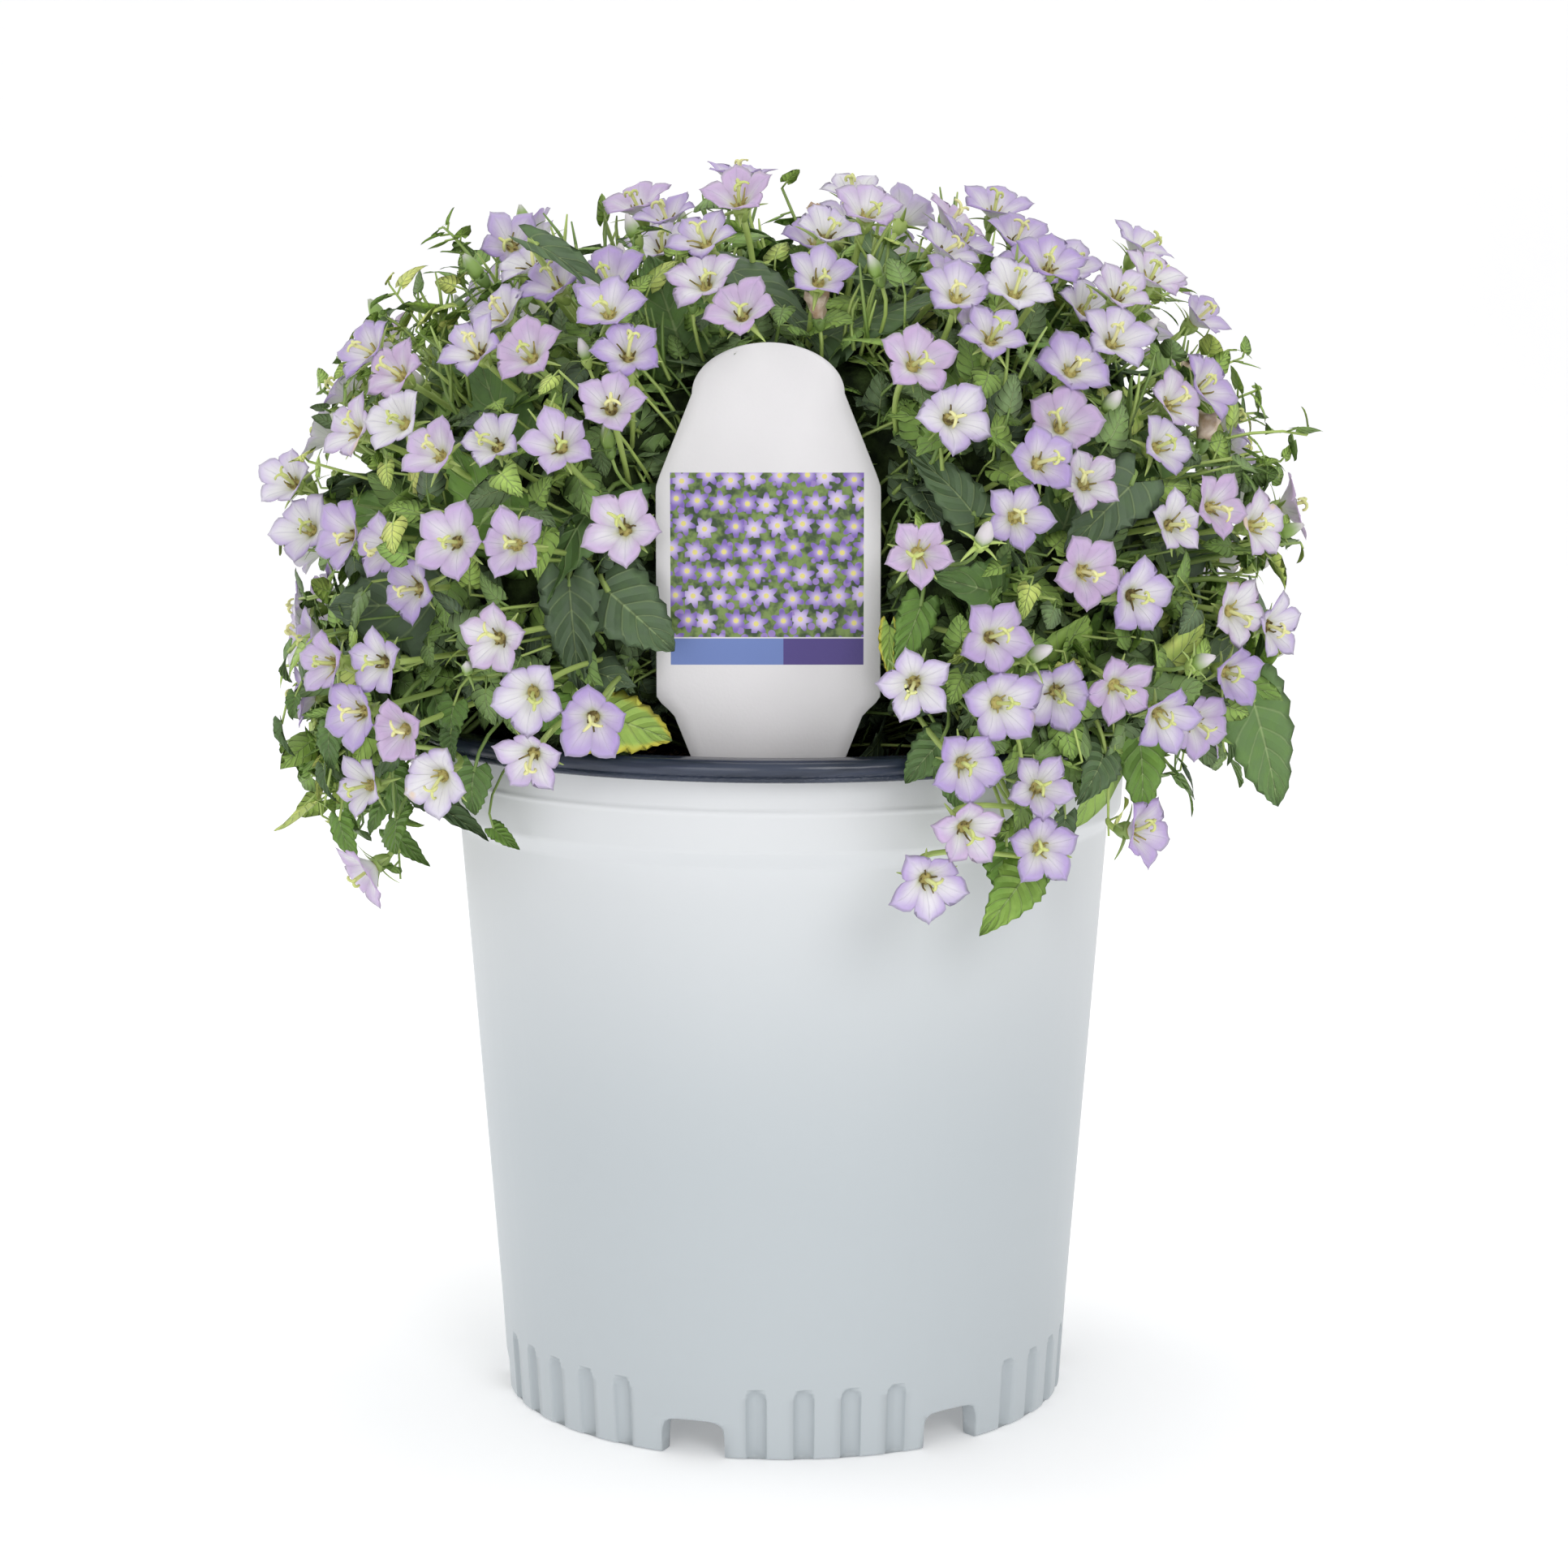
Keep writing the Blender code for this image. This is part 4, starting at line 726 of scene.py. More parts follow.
# Leaves that stand out: stalk end and tip in mm, width in mm, way they face in degrees, tint and fold
markedLeaves = (
    ((-41, -78, 209), (-25, -84, 196), 20, (-5, 25), 0.06, 0.12),
    ((-49, -80, 211), (-47, -84, 187), 15, (0, 20), 0.02, 1.1),
    ((-44, -78, 180), (-26, -83, 177), 20, (-10, 40), 1.4, 0.1),
    ((-55, -80, 182), (-42, -84, 176), 13, (-10, 45), 0.45, 0.2),
    ((-94, -40, 162), (-91, -50, 151), 9, (-30, 15), 0.42, 0.1),
    ((-96, -38, 155), (-102, -39, 147), 8, (-40, 20), 0.4, 0.1),
    ((-72, -67, 166), (-75, -66, 154), 11, (-20, 10), 0.35, 0.15),
    ((-85, -51, 156), (-71, -68, 153), 8, (-20, 50), 0.1, 0.7),
    ((-108, -32, 149), (-107, -36, 139), 8, (-30, 5), 0.5, 0.1),
    ((-95, -38, 147), (-88, -48, 142), 7, (-20, 20), 0.45, 0.3),
    ((-108, -48, 173), (-110, -49, 163), 8, (-20, 10), 0.3, 0.1),
    ((-110, -44, 163), (-111, -46, 156), 5, (-50, 10), 0.15, 0.8),
    ((-121, -36, 173), (-121, -38, 165), 5, (-60, 20), 0.2, 0.7),
    ((-119, -34, 190), (-126, -22, 183), 7, (-50, 30), 0.4, 0.4),
    ((-117, -40, 180), (-119, -40, 174), 5, (-30, 10), 0.35, 0.5),
    ((-68, -67, 152), (-63, -72, 149), 5, (-10, 20), 0.5, 0.1),
    ((-76, -73, 182), (-79, -74, 173), 9, (-20, 20), 0.4, 0.1),
    ((-77, -72, 175), (-77, -75, 169), 6, (-30, 15), 0.3, 0.6),
    ((112, -40, 180), (122, -32, 151), 22, (20, 12), 0.3, 0.2),
    ((83, -62, 173), (86, -64, 154), 14, (20, 15), 0.5, 0.35),
    ((70, -71, 172), (70, -74, 165), 8, (15, 15), 0.75, 0.1),
    ((51, -84, 151), (51, -86, 139), 13, (15, 10), 0.5, 0.15),
    ((59, -79, 149), (63, -78, 139), 7, (25, 5), 0.55, 0.3),
    ((58, -78, 147), (58, -80, 137), 7, (10, 10), 0.45, 0.4),
    ((65, -75, 156), (64, -77, 145), 7, (30, 0), 0.1, 0.5),
    ((36, -91, 176), (27, -95, 168), 12, (5, 40), 0.25, 0.2),
    ((37, -93, 171), (40, -94, 160), 9, (5, 20), 0.35, 0.2),
    ((31, -92, 207), (26, -97, 194), 10, (10, 30), 0.45, 0.1),
    ((24, -86, 201), (23, -88, 189), 5, (-30, 20), 1.4, 0.6),
    ((111, -48, 204), (124, -34, 189), 12, (30, 40), 0.15, 0.3),
    ((52, -91, 185), (53, -95, 176), 9, (10, 30), 0.4, 0.1),
    ((43, -86, 226), (33, -91, 241), 13, (10, 20), 0.06, 0.3),
    ((80, -74, 233), (65, -86, 220), 17, (20, 30), 0.03, 0.25),
    ((-58, -58, 287), (-36, -70, 279), 8, (-10, 50), 0.08, 0.7),
    ((-14, -48, 281), (8, -66, 277), 13, (0, 60), 0.05, 0.5),
)


def placeMarked():
    base, tip = (np.array([row[end] for row in markedLeaves]) * mm for end in (0, 1))
    along = unit(tip - base)
    face = squared(facing(*np.radians([row[3] for row in markedLeaves]).T), along)
    length = np.linalg.norm(tip - base, axis=1)
    return dict(base=base, along=along, face=face, length=length), (base + tip) / 2


marked, markedMiddles = placeMarked()


# Room for each leaf: it keeps off flowers, label, pot, marked leaves and the edge of the model's box

room = dict(
    rim=95 * mm, rimTop=174 * mm, rimBore=82 * mm, labelFront=-66 * mm, labelSide=28 * mm, labelTop=264 * mm,
    labelGap=1.6 * mm, margin=0.4 * mm, before=40 * mm, behind=0.5 * mm, beside=0.46, flowerFront=1.35,
    flowerBack=0.02,
)


def crossesLabel(paths):
    # True for each path that comes close to the card anywhere, looked at 6 spots a stretch
    shares = (np.arange(6) / 6)[:, None]
    spots = paths[:, :-1, None] * (1 - shares) + paths[:, 1:, None] * shares
    x, y, z = np.moveaxis(spots.reshape(len(paths), -1, 3), -1, 0)
    near = np.abs(y - card["y"]) < card["thickness"] / 2 + room["labelGap"]
    beside = np.abs(x - card["x"]) < cardHalf(np.minimum(z, card["top"])) + room["labelGap"]
    return (near & beside & (z < card["top"] + room["labelGap"])).any(1)


def isFree(points, width=1.06):
    # points[copy, sample]: clear of the space that every flower opens into, and of everything else
    free = np.ones(len(points), bool)
    radius = flowers["radius"]
    for start in range(0, len(points), 2000):
        ahead, off = fromAxis(points[start : start + 2000, :, None], flowers["base"], flowers["axis"])
        cone = np.clip(ahead / (0.5 * radius), 0.2, 1) * width * radius
        hit = (ahead > -room["flowerBack"] * radius) & (ahead < room["flowerFront"] * radius) & (off < cone)
        free[start : start + 2000] = ~hit.any((1, 2))
    x, y, z = np.moveaxis(points, -1, 0)
    out = np.hypot(x, y)
    taken = (out > room["rimBore"]) | (z < soil["level"] + 1 * mm)
    taken &= (out < room["rim"]) & (z < room["rimTop"])
    taken |= (y < room["labelFront"]) & (np.abs(x - card["x"]) < room["labelSide"]) & (z < room["labelTop"])
    taken |= ((points < boxLow + room["margin"]) | (points > boxHigh - room["margin"])).any(-1)
    for middle, face, length in zip(markedMiddles, marked["face"], marked["length"]):
        ahead, off = fromAxis(points, middle, face)
        taken |= (ahead > -room["behind"]) & (ahead < room["before"]) & (off < room["beside"] * length)
    return free & ~taken.any(1)


def clearPaths(paths, first):  # the paths that keep off everything from point number first on
    return paths[isFree(paths[:, first:], width=1.0) & ~crossesLabel(paths)]


# Leaves

blade = dict(
    thickness=0.012, width=(0.41, 0.575), fold=(0, 0.4), droop=(0.05, 0.75), wave=(0.02, 0.08), curl=(0, 0.5),
    middling=11.5 * mm, small=(6, 2), middle=(8, 4), large=(18, 6), teeth=0.05, largeTeeth=0.07,
)


def leafRings(rows, columns, teeth, *shape):
    # A heart: half width = W (1 - v^1.6)^0.85 (1 + sqrt(v / 0.2)) / 2 and swept back at the stalk.
    # Height = fold |u| w - droop v^2 + wave sin(veins) |u| - curl |u|^2 w, with an under side a little below
    width, droop, fold, wave, curl = (values[:, None, None] for values in shape)
    v = np.arange(rows) / rows
    v = (v - 0.07 * np.sin(math.tau * v))[:, None]  # closer rows at both ends
    u = np.linspace(-1, 1, columns + 1)
    loop = np.concatenate([u, u[-2:0:-1]])
    away = np.abs(loop)
    half = (1 - v**1.6) ** 0.85 * (0.5 + 0.5 * np.sqrt(np.minimum(v / 0.2, 1))) * width
    tooth = np.where(np.arange(rows) % 2 == 0, 1, -1)[:, None] * teeth * np.clip(v * 6, 0, 1) * away**3
    x = v - 0.2 * away**1.4 * (1 - v) ** 2.5 + 0.2 * away * (v * (1 - v)) + 0.015 * tooth
    z = fold * (away * half) - droop * v**2 + np.sin(v * rows * 0.8 + away * 2) * wave * away * 0.5
    z = z - curl * (away * half) ** 2 * 2
    z = z - (np.arange(len(loop)) > columns) * blade["thickness"] * (1 - away) ** 0.3
    local = np.stack(np.broadcast_arrays(x, loop * half * (1 + tooth), z), -1)
    tip = np.stack(np.broadcast_arrays(1.0, 0.0, -droop[:, :, 0]), -1)
    return local, np.concatenate([0 * tip, tip], 1), v[None], loop[None, None]


def leaves(name, group, tint, material, grid, teeth, width=None, fold=None):
    count = len(tint)
    width = draw.uniform(*blade["width"], count) if width is None else width
    fold = draw.uniform(*blade["fold"], count) if fold is None else fold
    droop, wave, curl = (draw.uniform(*blade[key], count) for key in ("droop", "wave", "curl"))
    local, ends, along, beside = leafRings(*grid, teeth, width, droop, fold, wave, curl)
    place = [group[key] for key in ("base", "along", "face", "length")]
    ends = settle(ends[:, :, None], *place)[:, :, 0]
    return skin(name, settle(local, *place), material, "leaf_green", ends,
                tint=tint, along=along, across=beside)


def bladeSamples(group):
    side = np.cross(group["face"], group["along"])
    spots = [(0, 0), (0.3, 0.35), (0.3, -0.35), (0.7, 0.25), (0.7, -0.25), (1, 0)]
    return np.stack([group["base"] + group["length"][:, None] * (x * group["along"] + y * side)
                     for x, y in spots], 1)


# Green body: a dark core that is painted shade inside the bush, sprigs with leaves, stalks, trailing shoots.
# Each kind of shoot carries its number of leaves, their sizes in mm, and the share of its length where they
# begin

heart = dict(scale=0.74, lump=2.4 * mm, columns=90, rings=48)
sprigs = dict(
    count=885, inner=0.58, outer=(0.80, 1.05), least=math.radians(-30), drift=0.36, bow=(1, 7), sway=3.0,
    radius=0.5 * mm, stations=6, sides=4, leaves=(5, (7.5, 15), 0.3),
)
skirt = dict(
    start=(70, 84), startHigh=(178, 186), over=(112, 124), overHigh=(186, 200), end=(100, 120), sway=6,
    stretches=((24, 100, 50, (164, 184)), (100, 250, 52, (148, 176)), (250, 308, 54, (144, 176))),
    leaves=(6, (9, 17), 0.4),
)
ground = dict(
    count=110, start=(6, 28), over=(42, 60), end=(66, 92), overHigh=(172, 190), endHigh=(168, 184),
    leaves=(4, (8, 16), 0.45),
)
sprays = dict(
    each=3, drift=3.5 * mm, bow=(2, 6), foot=0.8, margin=2 * mm, leaves=(6, (5, 9), 0.5),
    places=(
        ((-87, -30, 256), (-96, -30, 272)), ((-90, -35, 248), (-106, -30, 257)),
        ((-92, -35, 244), (-107, -25, 246)), ((-104, -40, 181), (-126, -20, 185)),
        ((-103, -40, 175), (-124, -25, 175)), ((-102, -40, 171), (-126, -20, 168)),
        ((-102, -45, 170), (-118, -30, 161)), ((-99, -45, 203), (-114, -30, 201)),
        ((99, -40, 241), (118, -20, 245)), ((98, -45, 238), (117, -25, 234)),
        ((93, -40, 248), (107, -20, 255)), ((106, -45, 211), (127, -20, 213)),
        ((80, -30, 266), (89, -20, 280)), ((-73, -30, 276), (-79, -20, 287)),
        ((104, 30, 235), (118, 25, 243)), ((-100, 35, 235), (-116, 30, 244)),
        ((60, 85, 240), (70, 100, 248)), ((-60, 85, 240), (-68, 100, 250)),
        ((0, 105, 225), (4, 119, 232)), ((98, 40, 185), (118, 40, 176)), ((-98, 40, 185), (-118, 40, 174)),
    ),
)
tufts = dict(
    count=40, stalks=6, scale=0.94, long=(7, 15), least=math.radians(24), root=5 * mm,
    radii=np.array([0.5, 0.45, 0.4, 0.2]) * mm,
)
trails = dict(
    places=((-101, 38), (-84, 52), (-57, 60), (27, 54), (41, 46), (84, 34), (112, 48), (147, 36), (176, 56),
            (208, 40), (236, 52)),
    stations=((60 * mm, 186 * mm), (94 * mm, 188 * mm), (108 * mm, 175 * mm)), end=107 * mm, drift=0.025,
    radius=0.8 * mm, leaves=(6, (7, 13), 0.5),
)


def shadeCoreSkin():
    # The dome drawn in, its scale varied by lumps sin(9 azimuth + 5 lift) sin(8 lift + 4 azimuth)
    # a dark solid: painted shade that shows in the gaps between the leaves
    azimuth = np.arange(heart["columns"]) * math.tau / heart["columns"]
    lift = np.linspace(-math.pi / 2 + 0.02, math.pi / 2 - 0.02, heart["rings"])[:, None]
    lumps = np.sin(9 * azimuth + 5 * lift) * np.sin(8 * lift + 4 * azimuth)
    points = domePoint(azimuth, lift, heart["scale"] + lumps * heart["lump"] / dome["radius"])
    skin("shadeCore", points[None], plainFinish(
        "shadedGreen", 0.8, (150, 4), (0.35, 0.7), ((26, 34, 20), (64, 80, 44)), (0.006, 110, 4),
        Specular_IOR_Level=0.15,
    ), "leaf_green")


def growSprigs():
    # Ends lie on the dome by the golden angle; each stem bows up from deep inside, and leaves turn round it
    count = sprigs["count"]
    azimuth, lift = evenOnDome(count, sprigs["least"])
    azimuth = azimuth + draw.normal(0, 0.05, count)
    end = domePoint(azimuth, lift, draw.uniform(*sprigs["outer"], count))
    inner = domePoint(azimuth + draw.uniform(-1, 1, count) * sprigs["drift"], lift * 0.85, sprigs["inner"])
    middle = (inner + end) / 2 + up * draw.uniform(*sprigs["bow"], (count, 1)) * mm
    middle = middle + draw.normal(0, sprigs["sway"], (count, 3)) * mm
    return clearPaths(bend(inner, middle, end, sprigs["stations"]), 2)


def growSkirt():
    # Shoots that arch over the rim and hang, all round but for the open stretch at the front
    stretches = [(np.radians(draw.uniform(first, last, count)), draw.uniform(*ends, count) * mm)
                 for first, last, count, ends in skirt["stretches"]]
    azimuth, low = (np.concatenate(parts) for parts in zip(*stretches))
    count = len(azimuth)
    highs = [draw.uniform(*skirt[key], count) * mm for key in ("startHigh", "overHigh")]
    start, over, end = (
        ringPoint(azimuth + draw.uniform(-0.12, 0.12, count), draw.uniform(*skirt[out], count) * mm, high)
        for out, high in zip(("start", "over", "end"), (*highs, low))
    )
    over = over + draw.normal(0, skirt["sway"], (count, 3)) * mm
    return clearPaths(bend(start, over, end, sprigs["stations"]), 1)


def growGround():
    # Low shoots from the crown out over the soil and up to the rim
    count = ground["count"]
    azimuth = np.arange(count) * goldenAngle + draw.uniform(-0.1, 0.1, count)
    start = ringPoint(azimuth, draw.uniform(*ground["start"], count) * mm, soil["level"] + 1 * mm)
    over, end = (
        ringPoint(azimuth + draw.uniform(-drift, drift, count), draw.uniform(*ground[key], count) * mm,
                  draw.uniform(*ground[key + "High"], count) * mm)
        for key, drift in (("over", 0.3), ("end", 0.2))
    )
    return clearPaths(bend(start, over, end, sprigs["stations"]), 2)


def growSprays():
    # Fine shoots that stand out of the sides: each sags from its foot to its tip
    foot, tip = (np.repeat(np.array([row[end] for row in sprays["places"]]) * mm, sprays["each"], 0)
                 for end in (0, 1))
    tip = tip + draw.normal(0, sprays["drift"], tip.shape)
    tip = np.clip(tip, boxLow + sprays["margin"], boxHigh - sprays["margin"])
    middle = (foot + tip) / 2 + up * draw.uniform(*sprays["bow"], (len(tip), 1)) * mm
    return clearPaths(bend(shrink(foot, sprays["foot"]), middle, tip, sprigs["stations"]), 3)


def growTufts():
    # Thin upright stalks in bunches, each nearly straight from a spot just under the dome
    each, count = tufts["stalks"], tufts["count"] * tufts["stalks"]
    azimuth, lift = evenOnDome(tufts["count"], tufts["least"])
    foot = np.repeat(domePoint(azimuth + 1, lift, tufts["scale"]), each, 0)
    foot = foot + draw.normal(0, 1.6, (count, 3)) * mm
    ahead = unit(domeNormal(foot) * 0.7 + up * 0.9 + draw.normal(0, 0.34, (count, 3)))
    tip = foot + ahead * draw.uniform(*tufts["long"], (count, 1)) * mm
    middle = (foot + tip) / 2 + draw.normal(0, 1.3, (count, 3)) * mm
    return clearPaths(bend(foot - ahead * tufts["root"], middle, tip, len(tufts["radii"])), 1)


def trailLines():  # the model's own rule for the shoots that hang over the rim
    lines = []
    for number, (azimuth, drop) in enumerate(trails["places"]):
        chance = random.Random(f"trail {number}")
        drift = chance.uniform(-trails["drift"], trails["drift"])
        last = (trails["end"] + chance.uniform(-2, 2) * mm, dome["level"] - drop * mm)
        radius, height = np.array([*trails["stations"], last]).T
        lines.append(ringPoint(math.radians(azimuth) + drift * np.arange(4), radius, height))
    return np.array(lines)


def roundedLines(lines):  # Catmull-Rom through the stations, 6 points a stretch
    first, last = 2 * lines[:, :1] - lines[:, 1:2], 2 * lines[:, -1:] - lines[:, -2:-1]
    p = np.concatenate([first, lines, last], 1)
    t = (np.arange(6) / 6)[None, None, :, None]
    a, b, c, d = (p[:, k : k + 3, None] for k in range(4))
    path = 0.5 * (2 * b + (c - a) * t + (2 * a - 5 * b + 4 * c - d) * t**2 + (3 * b - a - 3 * c + d) * t**3)
    return np.concatenate([path.reshape(len(lines), -1, 3), lines[:, -1:]], 1)


def spotsOn(paths, places):  # points at places counted in stretches, and the way the path runs there
    low = np.minimum(places.astype(int), paths.shape[1] - 2)
    part = (places - low)[..., None]
    rows = np.arange(len(paths))[:, None]
    start, end = paths[rows, low], paths[rows, low + 1]
    return start * (1 - part) + end * part, unit(end - start)


def leavesOn(paths, owned, perStem, sizes, start):
    # Leaves turn round their stem by the golden angle, lean out and up, and face away from the dome
    count = len(paths)
    place = np.linspace(start, 1.0, perStem)[None] + draw.uniform(-0.05, 0.05, (count, perStem))
    place = np.clip(place, 0.1, 1) * (paths.shape[1] - 1)
    stem, tangent = spotsOn(paths, place)
    turn = np.arange(perStem) * goldenAngle + draw.uniform(0, math.tau, (count, 1))
    out = swing(across(tangent), tangent, turn)
    ahead, rise = (draw.uniform(*ends, (count, perStem, 1)) for ends in ((0.1, 0.9), (-0.35, 0.35)))
    along = unit(out + tangent * ahead + up * rise)
    face = domeNormal(stem) * 0.9 + up * 0.5 + tangent * 0.3 + draw.normal(0, 0.38, stem.shape)
    face = squared(face, along)
    length = draw.uniform(*sizes, (count, perStem)) * mm * np.linspace(1.0, 0.62, perStem)
    base = stem + along * length[..., None] * 0.42
    grown = {key: values.reshape(-1, 3)
             for key, values in dict(stem=stem, base=base, along=along, face=face).items()}
    owner = owned + np.repeat(np.arange(count), perStem)
    return dict(grown, length=length.ravel(), owner=owner, place=place.ravel())


def growLeaves(kinds):
    # Leaves on every kind of shoot, without those that have no room. A shoot ends at its last leaf, and
    # one with fewer than two leaves goes, but for the trailing ones
    parts = []
    owned = 0
    for paths, kind in kinds:
        parts.append(leavesOn(paths, owned, *kind["leaves"]))
        owned += len(paths)
    group = {key: np.concatenate([part[key] for part in parts]) for key in parts[0]}
    stems = np.concatenate([paths for paths, kind in kinds if kind is not trails])
    free = isFree(bladeSamples(group))
    owner = group["owner"]
    isLeafy = np.bincount(owner[free], minlength=owned) > 1
    free = free & (isLeafy[owner] | (owner >= len(stems)))
    last = np.zeros(owned)
    np.maximum.at(last, owner[free], group["place"][free])
    last, isLeafy = last[: len(stems), None], isLeafy[: len(stems)]
    stems = spotsOn(stems, np.linspace(0, 1, stems.shape[1]) * last)[0][isLeafy]
    return stems, {key: values[free] for key, values in group.items()}


def dressStems(stems, group):
    radii = np.linspace(1.15, 0.6, sprigs["stations"]) * sprigs["radius"]
    radii = radii * draw.uniform(0.8, 1.2, (len(stems), 1))
    skin("sprigStems", tube(stems, radii, sprigs["sides"]), stemGreen, "leaf_green",
         tint=draw.uniform(0, 1, len(stems)))
    # leaf tint: a random tone, lowered for leaves deeper in the dome as painted shade
    reach = (group["base"] - [0, 0, dome["level"]]) / [dome["radius"], dome["radius"], dome["rise"]]
    depth = np.linalg.norm(reach, axis=1)
    tint = np.clip(draw.normal(0.42, 0.22, len(depth)) + (depth - 0.85) * 1.1, 0, 1)
    ends = group["base"] + group["along"] * group["length"][:, None] * 0.08
    # the leaf stalks take the same tint, painted shade included
    skin("leafStalks", tube(np.stack([group["stem"], ends], 1), 0.3 * mm, 3), stemGreen, "leaf_green",
         tint=tint * 0.8)
    small = group["length"] < blade["middling"]
    leafGreen = leafFinish(**leafLooks["small"])
    for name, part, grid in (("smallLeaves", small, "small"), ("middlingLeaves", ~small, "middle")):
        chosen = {key: values[part] for key, values in group.items()}
        leaves(name, chosen, tint[part], leafGreen, blade[grid], blade["teeth"])


largeLeafLook = dict(
    tint=(0.25, 0.2), lowTint=0.3, lowUnder=168 * mm, mostTint=0.62, width=(0.38, 0.48), fold=(0, 0.4),
    stalkEnd=0.72, stalkLeast=183 * mm, stalkBack=9 * mm, stalkUp=5 * mm, stalkRadius=0.035, stalkPoints=7,
)


def dressLargeLeaves():
    # Each stalk runs back from its blade, up a little and into the plant
    look = largeLeafLook
    count = len(bigLeaves["base"])
    tint = draw.normal(*look["tint"], count) + (bigLeaves["base"][:, 2] < look["lowUnder"]) * look["lowTint"]
    large = {key: np.concatenate([bigLeaves[key], marked[key]]) for key in marked}
    inside = shrink(large["base"], look["stalkEnd"])
    inside[:, 2] = np.maximum(inside[:, 2], look["stalkLeast"])
    middle = large["base"] - large["along"] * look["stalkBack"] + up * look["stalkUp"]
    start = large["base"] + large["along"] * large["length"][:, None] * 0.06
    paths = bend(start, middle, inBay(inside), look["stalkPoints"])
    kept = ~crossesLabel(paths)
    radii = np.clip(large["length"][kept, None] * look["stalkRadius"], 0.3 * mm, 0.7 * mm)
    radii = radii * np.linspace(1, 1.2, look["stalkPoints"])
    skin("largeLeafStalks", tube(paths[kept], radii, 5), stemGreen, "leaf_green",
         tint=draw.uniform(0.2, 0.8, kept.sum()))
    wide, tints, folds = (np.array([row[place] for row in markedLeaves]) for place in (2, 4, 5))
    width = np.concatenate([draw.uniform(*look["width"], count), wide * mm / 2 / marked["length"]])
    fold = np.concatenate([draw.uniform(*look["fold"], count), folds])
    tint = np.concatenate([np.clip(tint, 0, look["mostTint"]), tints])
    made = leaves("largeLeaves", large, tint, leafFinish(**leafLooks["large"]), blade["large"],
                  blade["largeTeeth"], width, fold)
    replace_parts(made, "foliage")


stemGreen = plainFinish(
    "stemGreen", 0.5, (120, 2), (0.3, 1.1), ((112, 140, 74), (174, 196, 108)),
    weight=0.4, fields=dict(tint=1),
)
shadeCoreSkin()
trailPaths = roundedLines(trailLines())
shoots = [(growSprigs(), sprigs), (growSkirt(), skirt), (growGround(), ground), (growSprays(), sprays)]
tuftPaths = growTufts()
skin("stalkTufts", tube(tuftPaths, tufts["radii"], 4), stemGreen, "leaf_green",
     tint=draw.uniform(0.1, 0.9, len(tuftPaths)))
dressStems(*growLeaves([*shoots, (trailPaths, trails)]))
dressLargeLeaves()
skin("trailingShoots", tube(trailPaths, np.linspace(1.3, 0.3, trailPaths.shape[1]) * trails["radius"], 6),
     stemGreen, "leaf_green", tint=draw.uniform(0.3, 0.9, len(trailPaths)))


# Flowers

bell = dict(
    lobes=5, notch=(0.54, 0.66), thickness=0.028, turns=(0.0, 0.1, 0.3, 0.6, 0.88), depth=0.62,
    reaches=(0.1, 0.2, 0.34, 0.5, 0.67, 0.84, 1.0), backs=(0.7, 0.3), open=1.05, closing=0.2,
    recurve=(0.05, 0.4), mostCut=0.3, cupPowers=(2.2, 1.6),
)


def cupHeight(out):  # over the throat, by share of the radius: 0.62 (1 - (1 - out)^2.2)^1.6
    inner, outer = bell["cupPowers"]
    return bell["depth"] * (1 - (1 - np.minimum(out, 1)) ** inner) ** outer


def lobeCuts(middles):
    # middles[flower, ring, lobe]: the share of each lobe that has passed through another flower's cup
    ahead, flat = fromAxis(middles[:, :, :, None], flowers["base"], flowers["axis"])
    flat = flat / flowers["radius"]
    over = ahead - cupHeight(flat) * flowers["radius"] - 0.2 * mm
    own = np.eye(len(middles), dtype=bool)[:, None, None]
    crosses = (over[:, :-1] < 0) & (over[:, 1:] > 0) & (flat[:, 1:] < 1) & ~own
    reach = np.array(bell["reaches"])[:, None, None]
    share = -over[:, :-1] / np.where(crosses, over[:, 1:] - over[:, :-1], 1)
    passed = reach[:-1] + share * (reach[1:] - reach[:-1])
    return np.clip(1 - np.where(crosses, passed, 1).min((1, 3)), 0, bell["mostCut"])


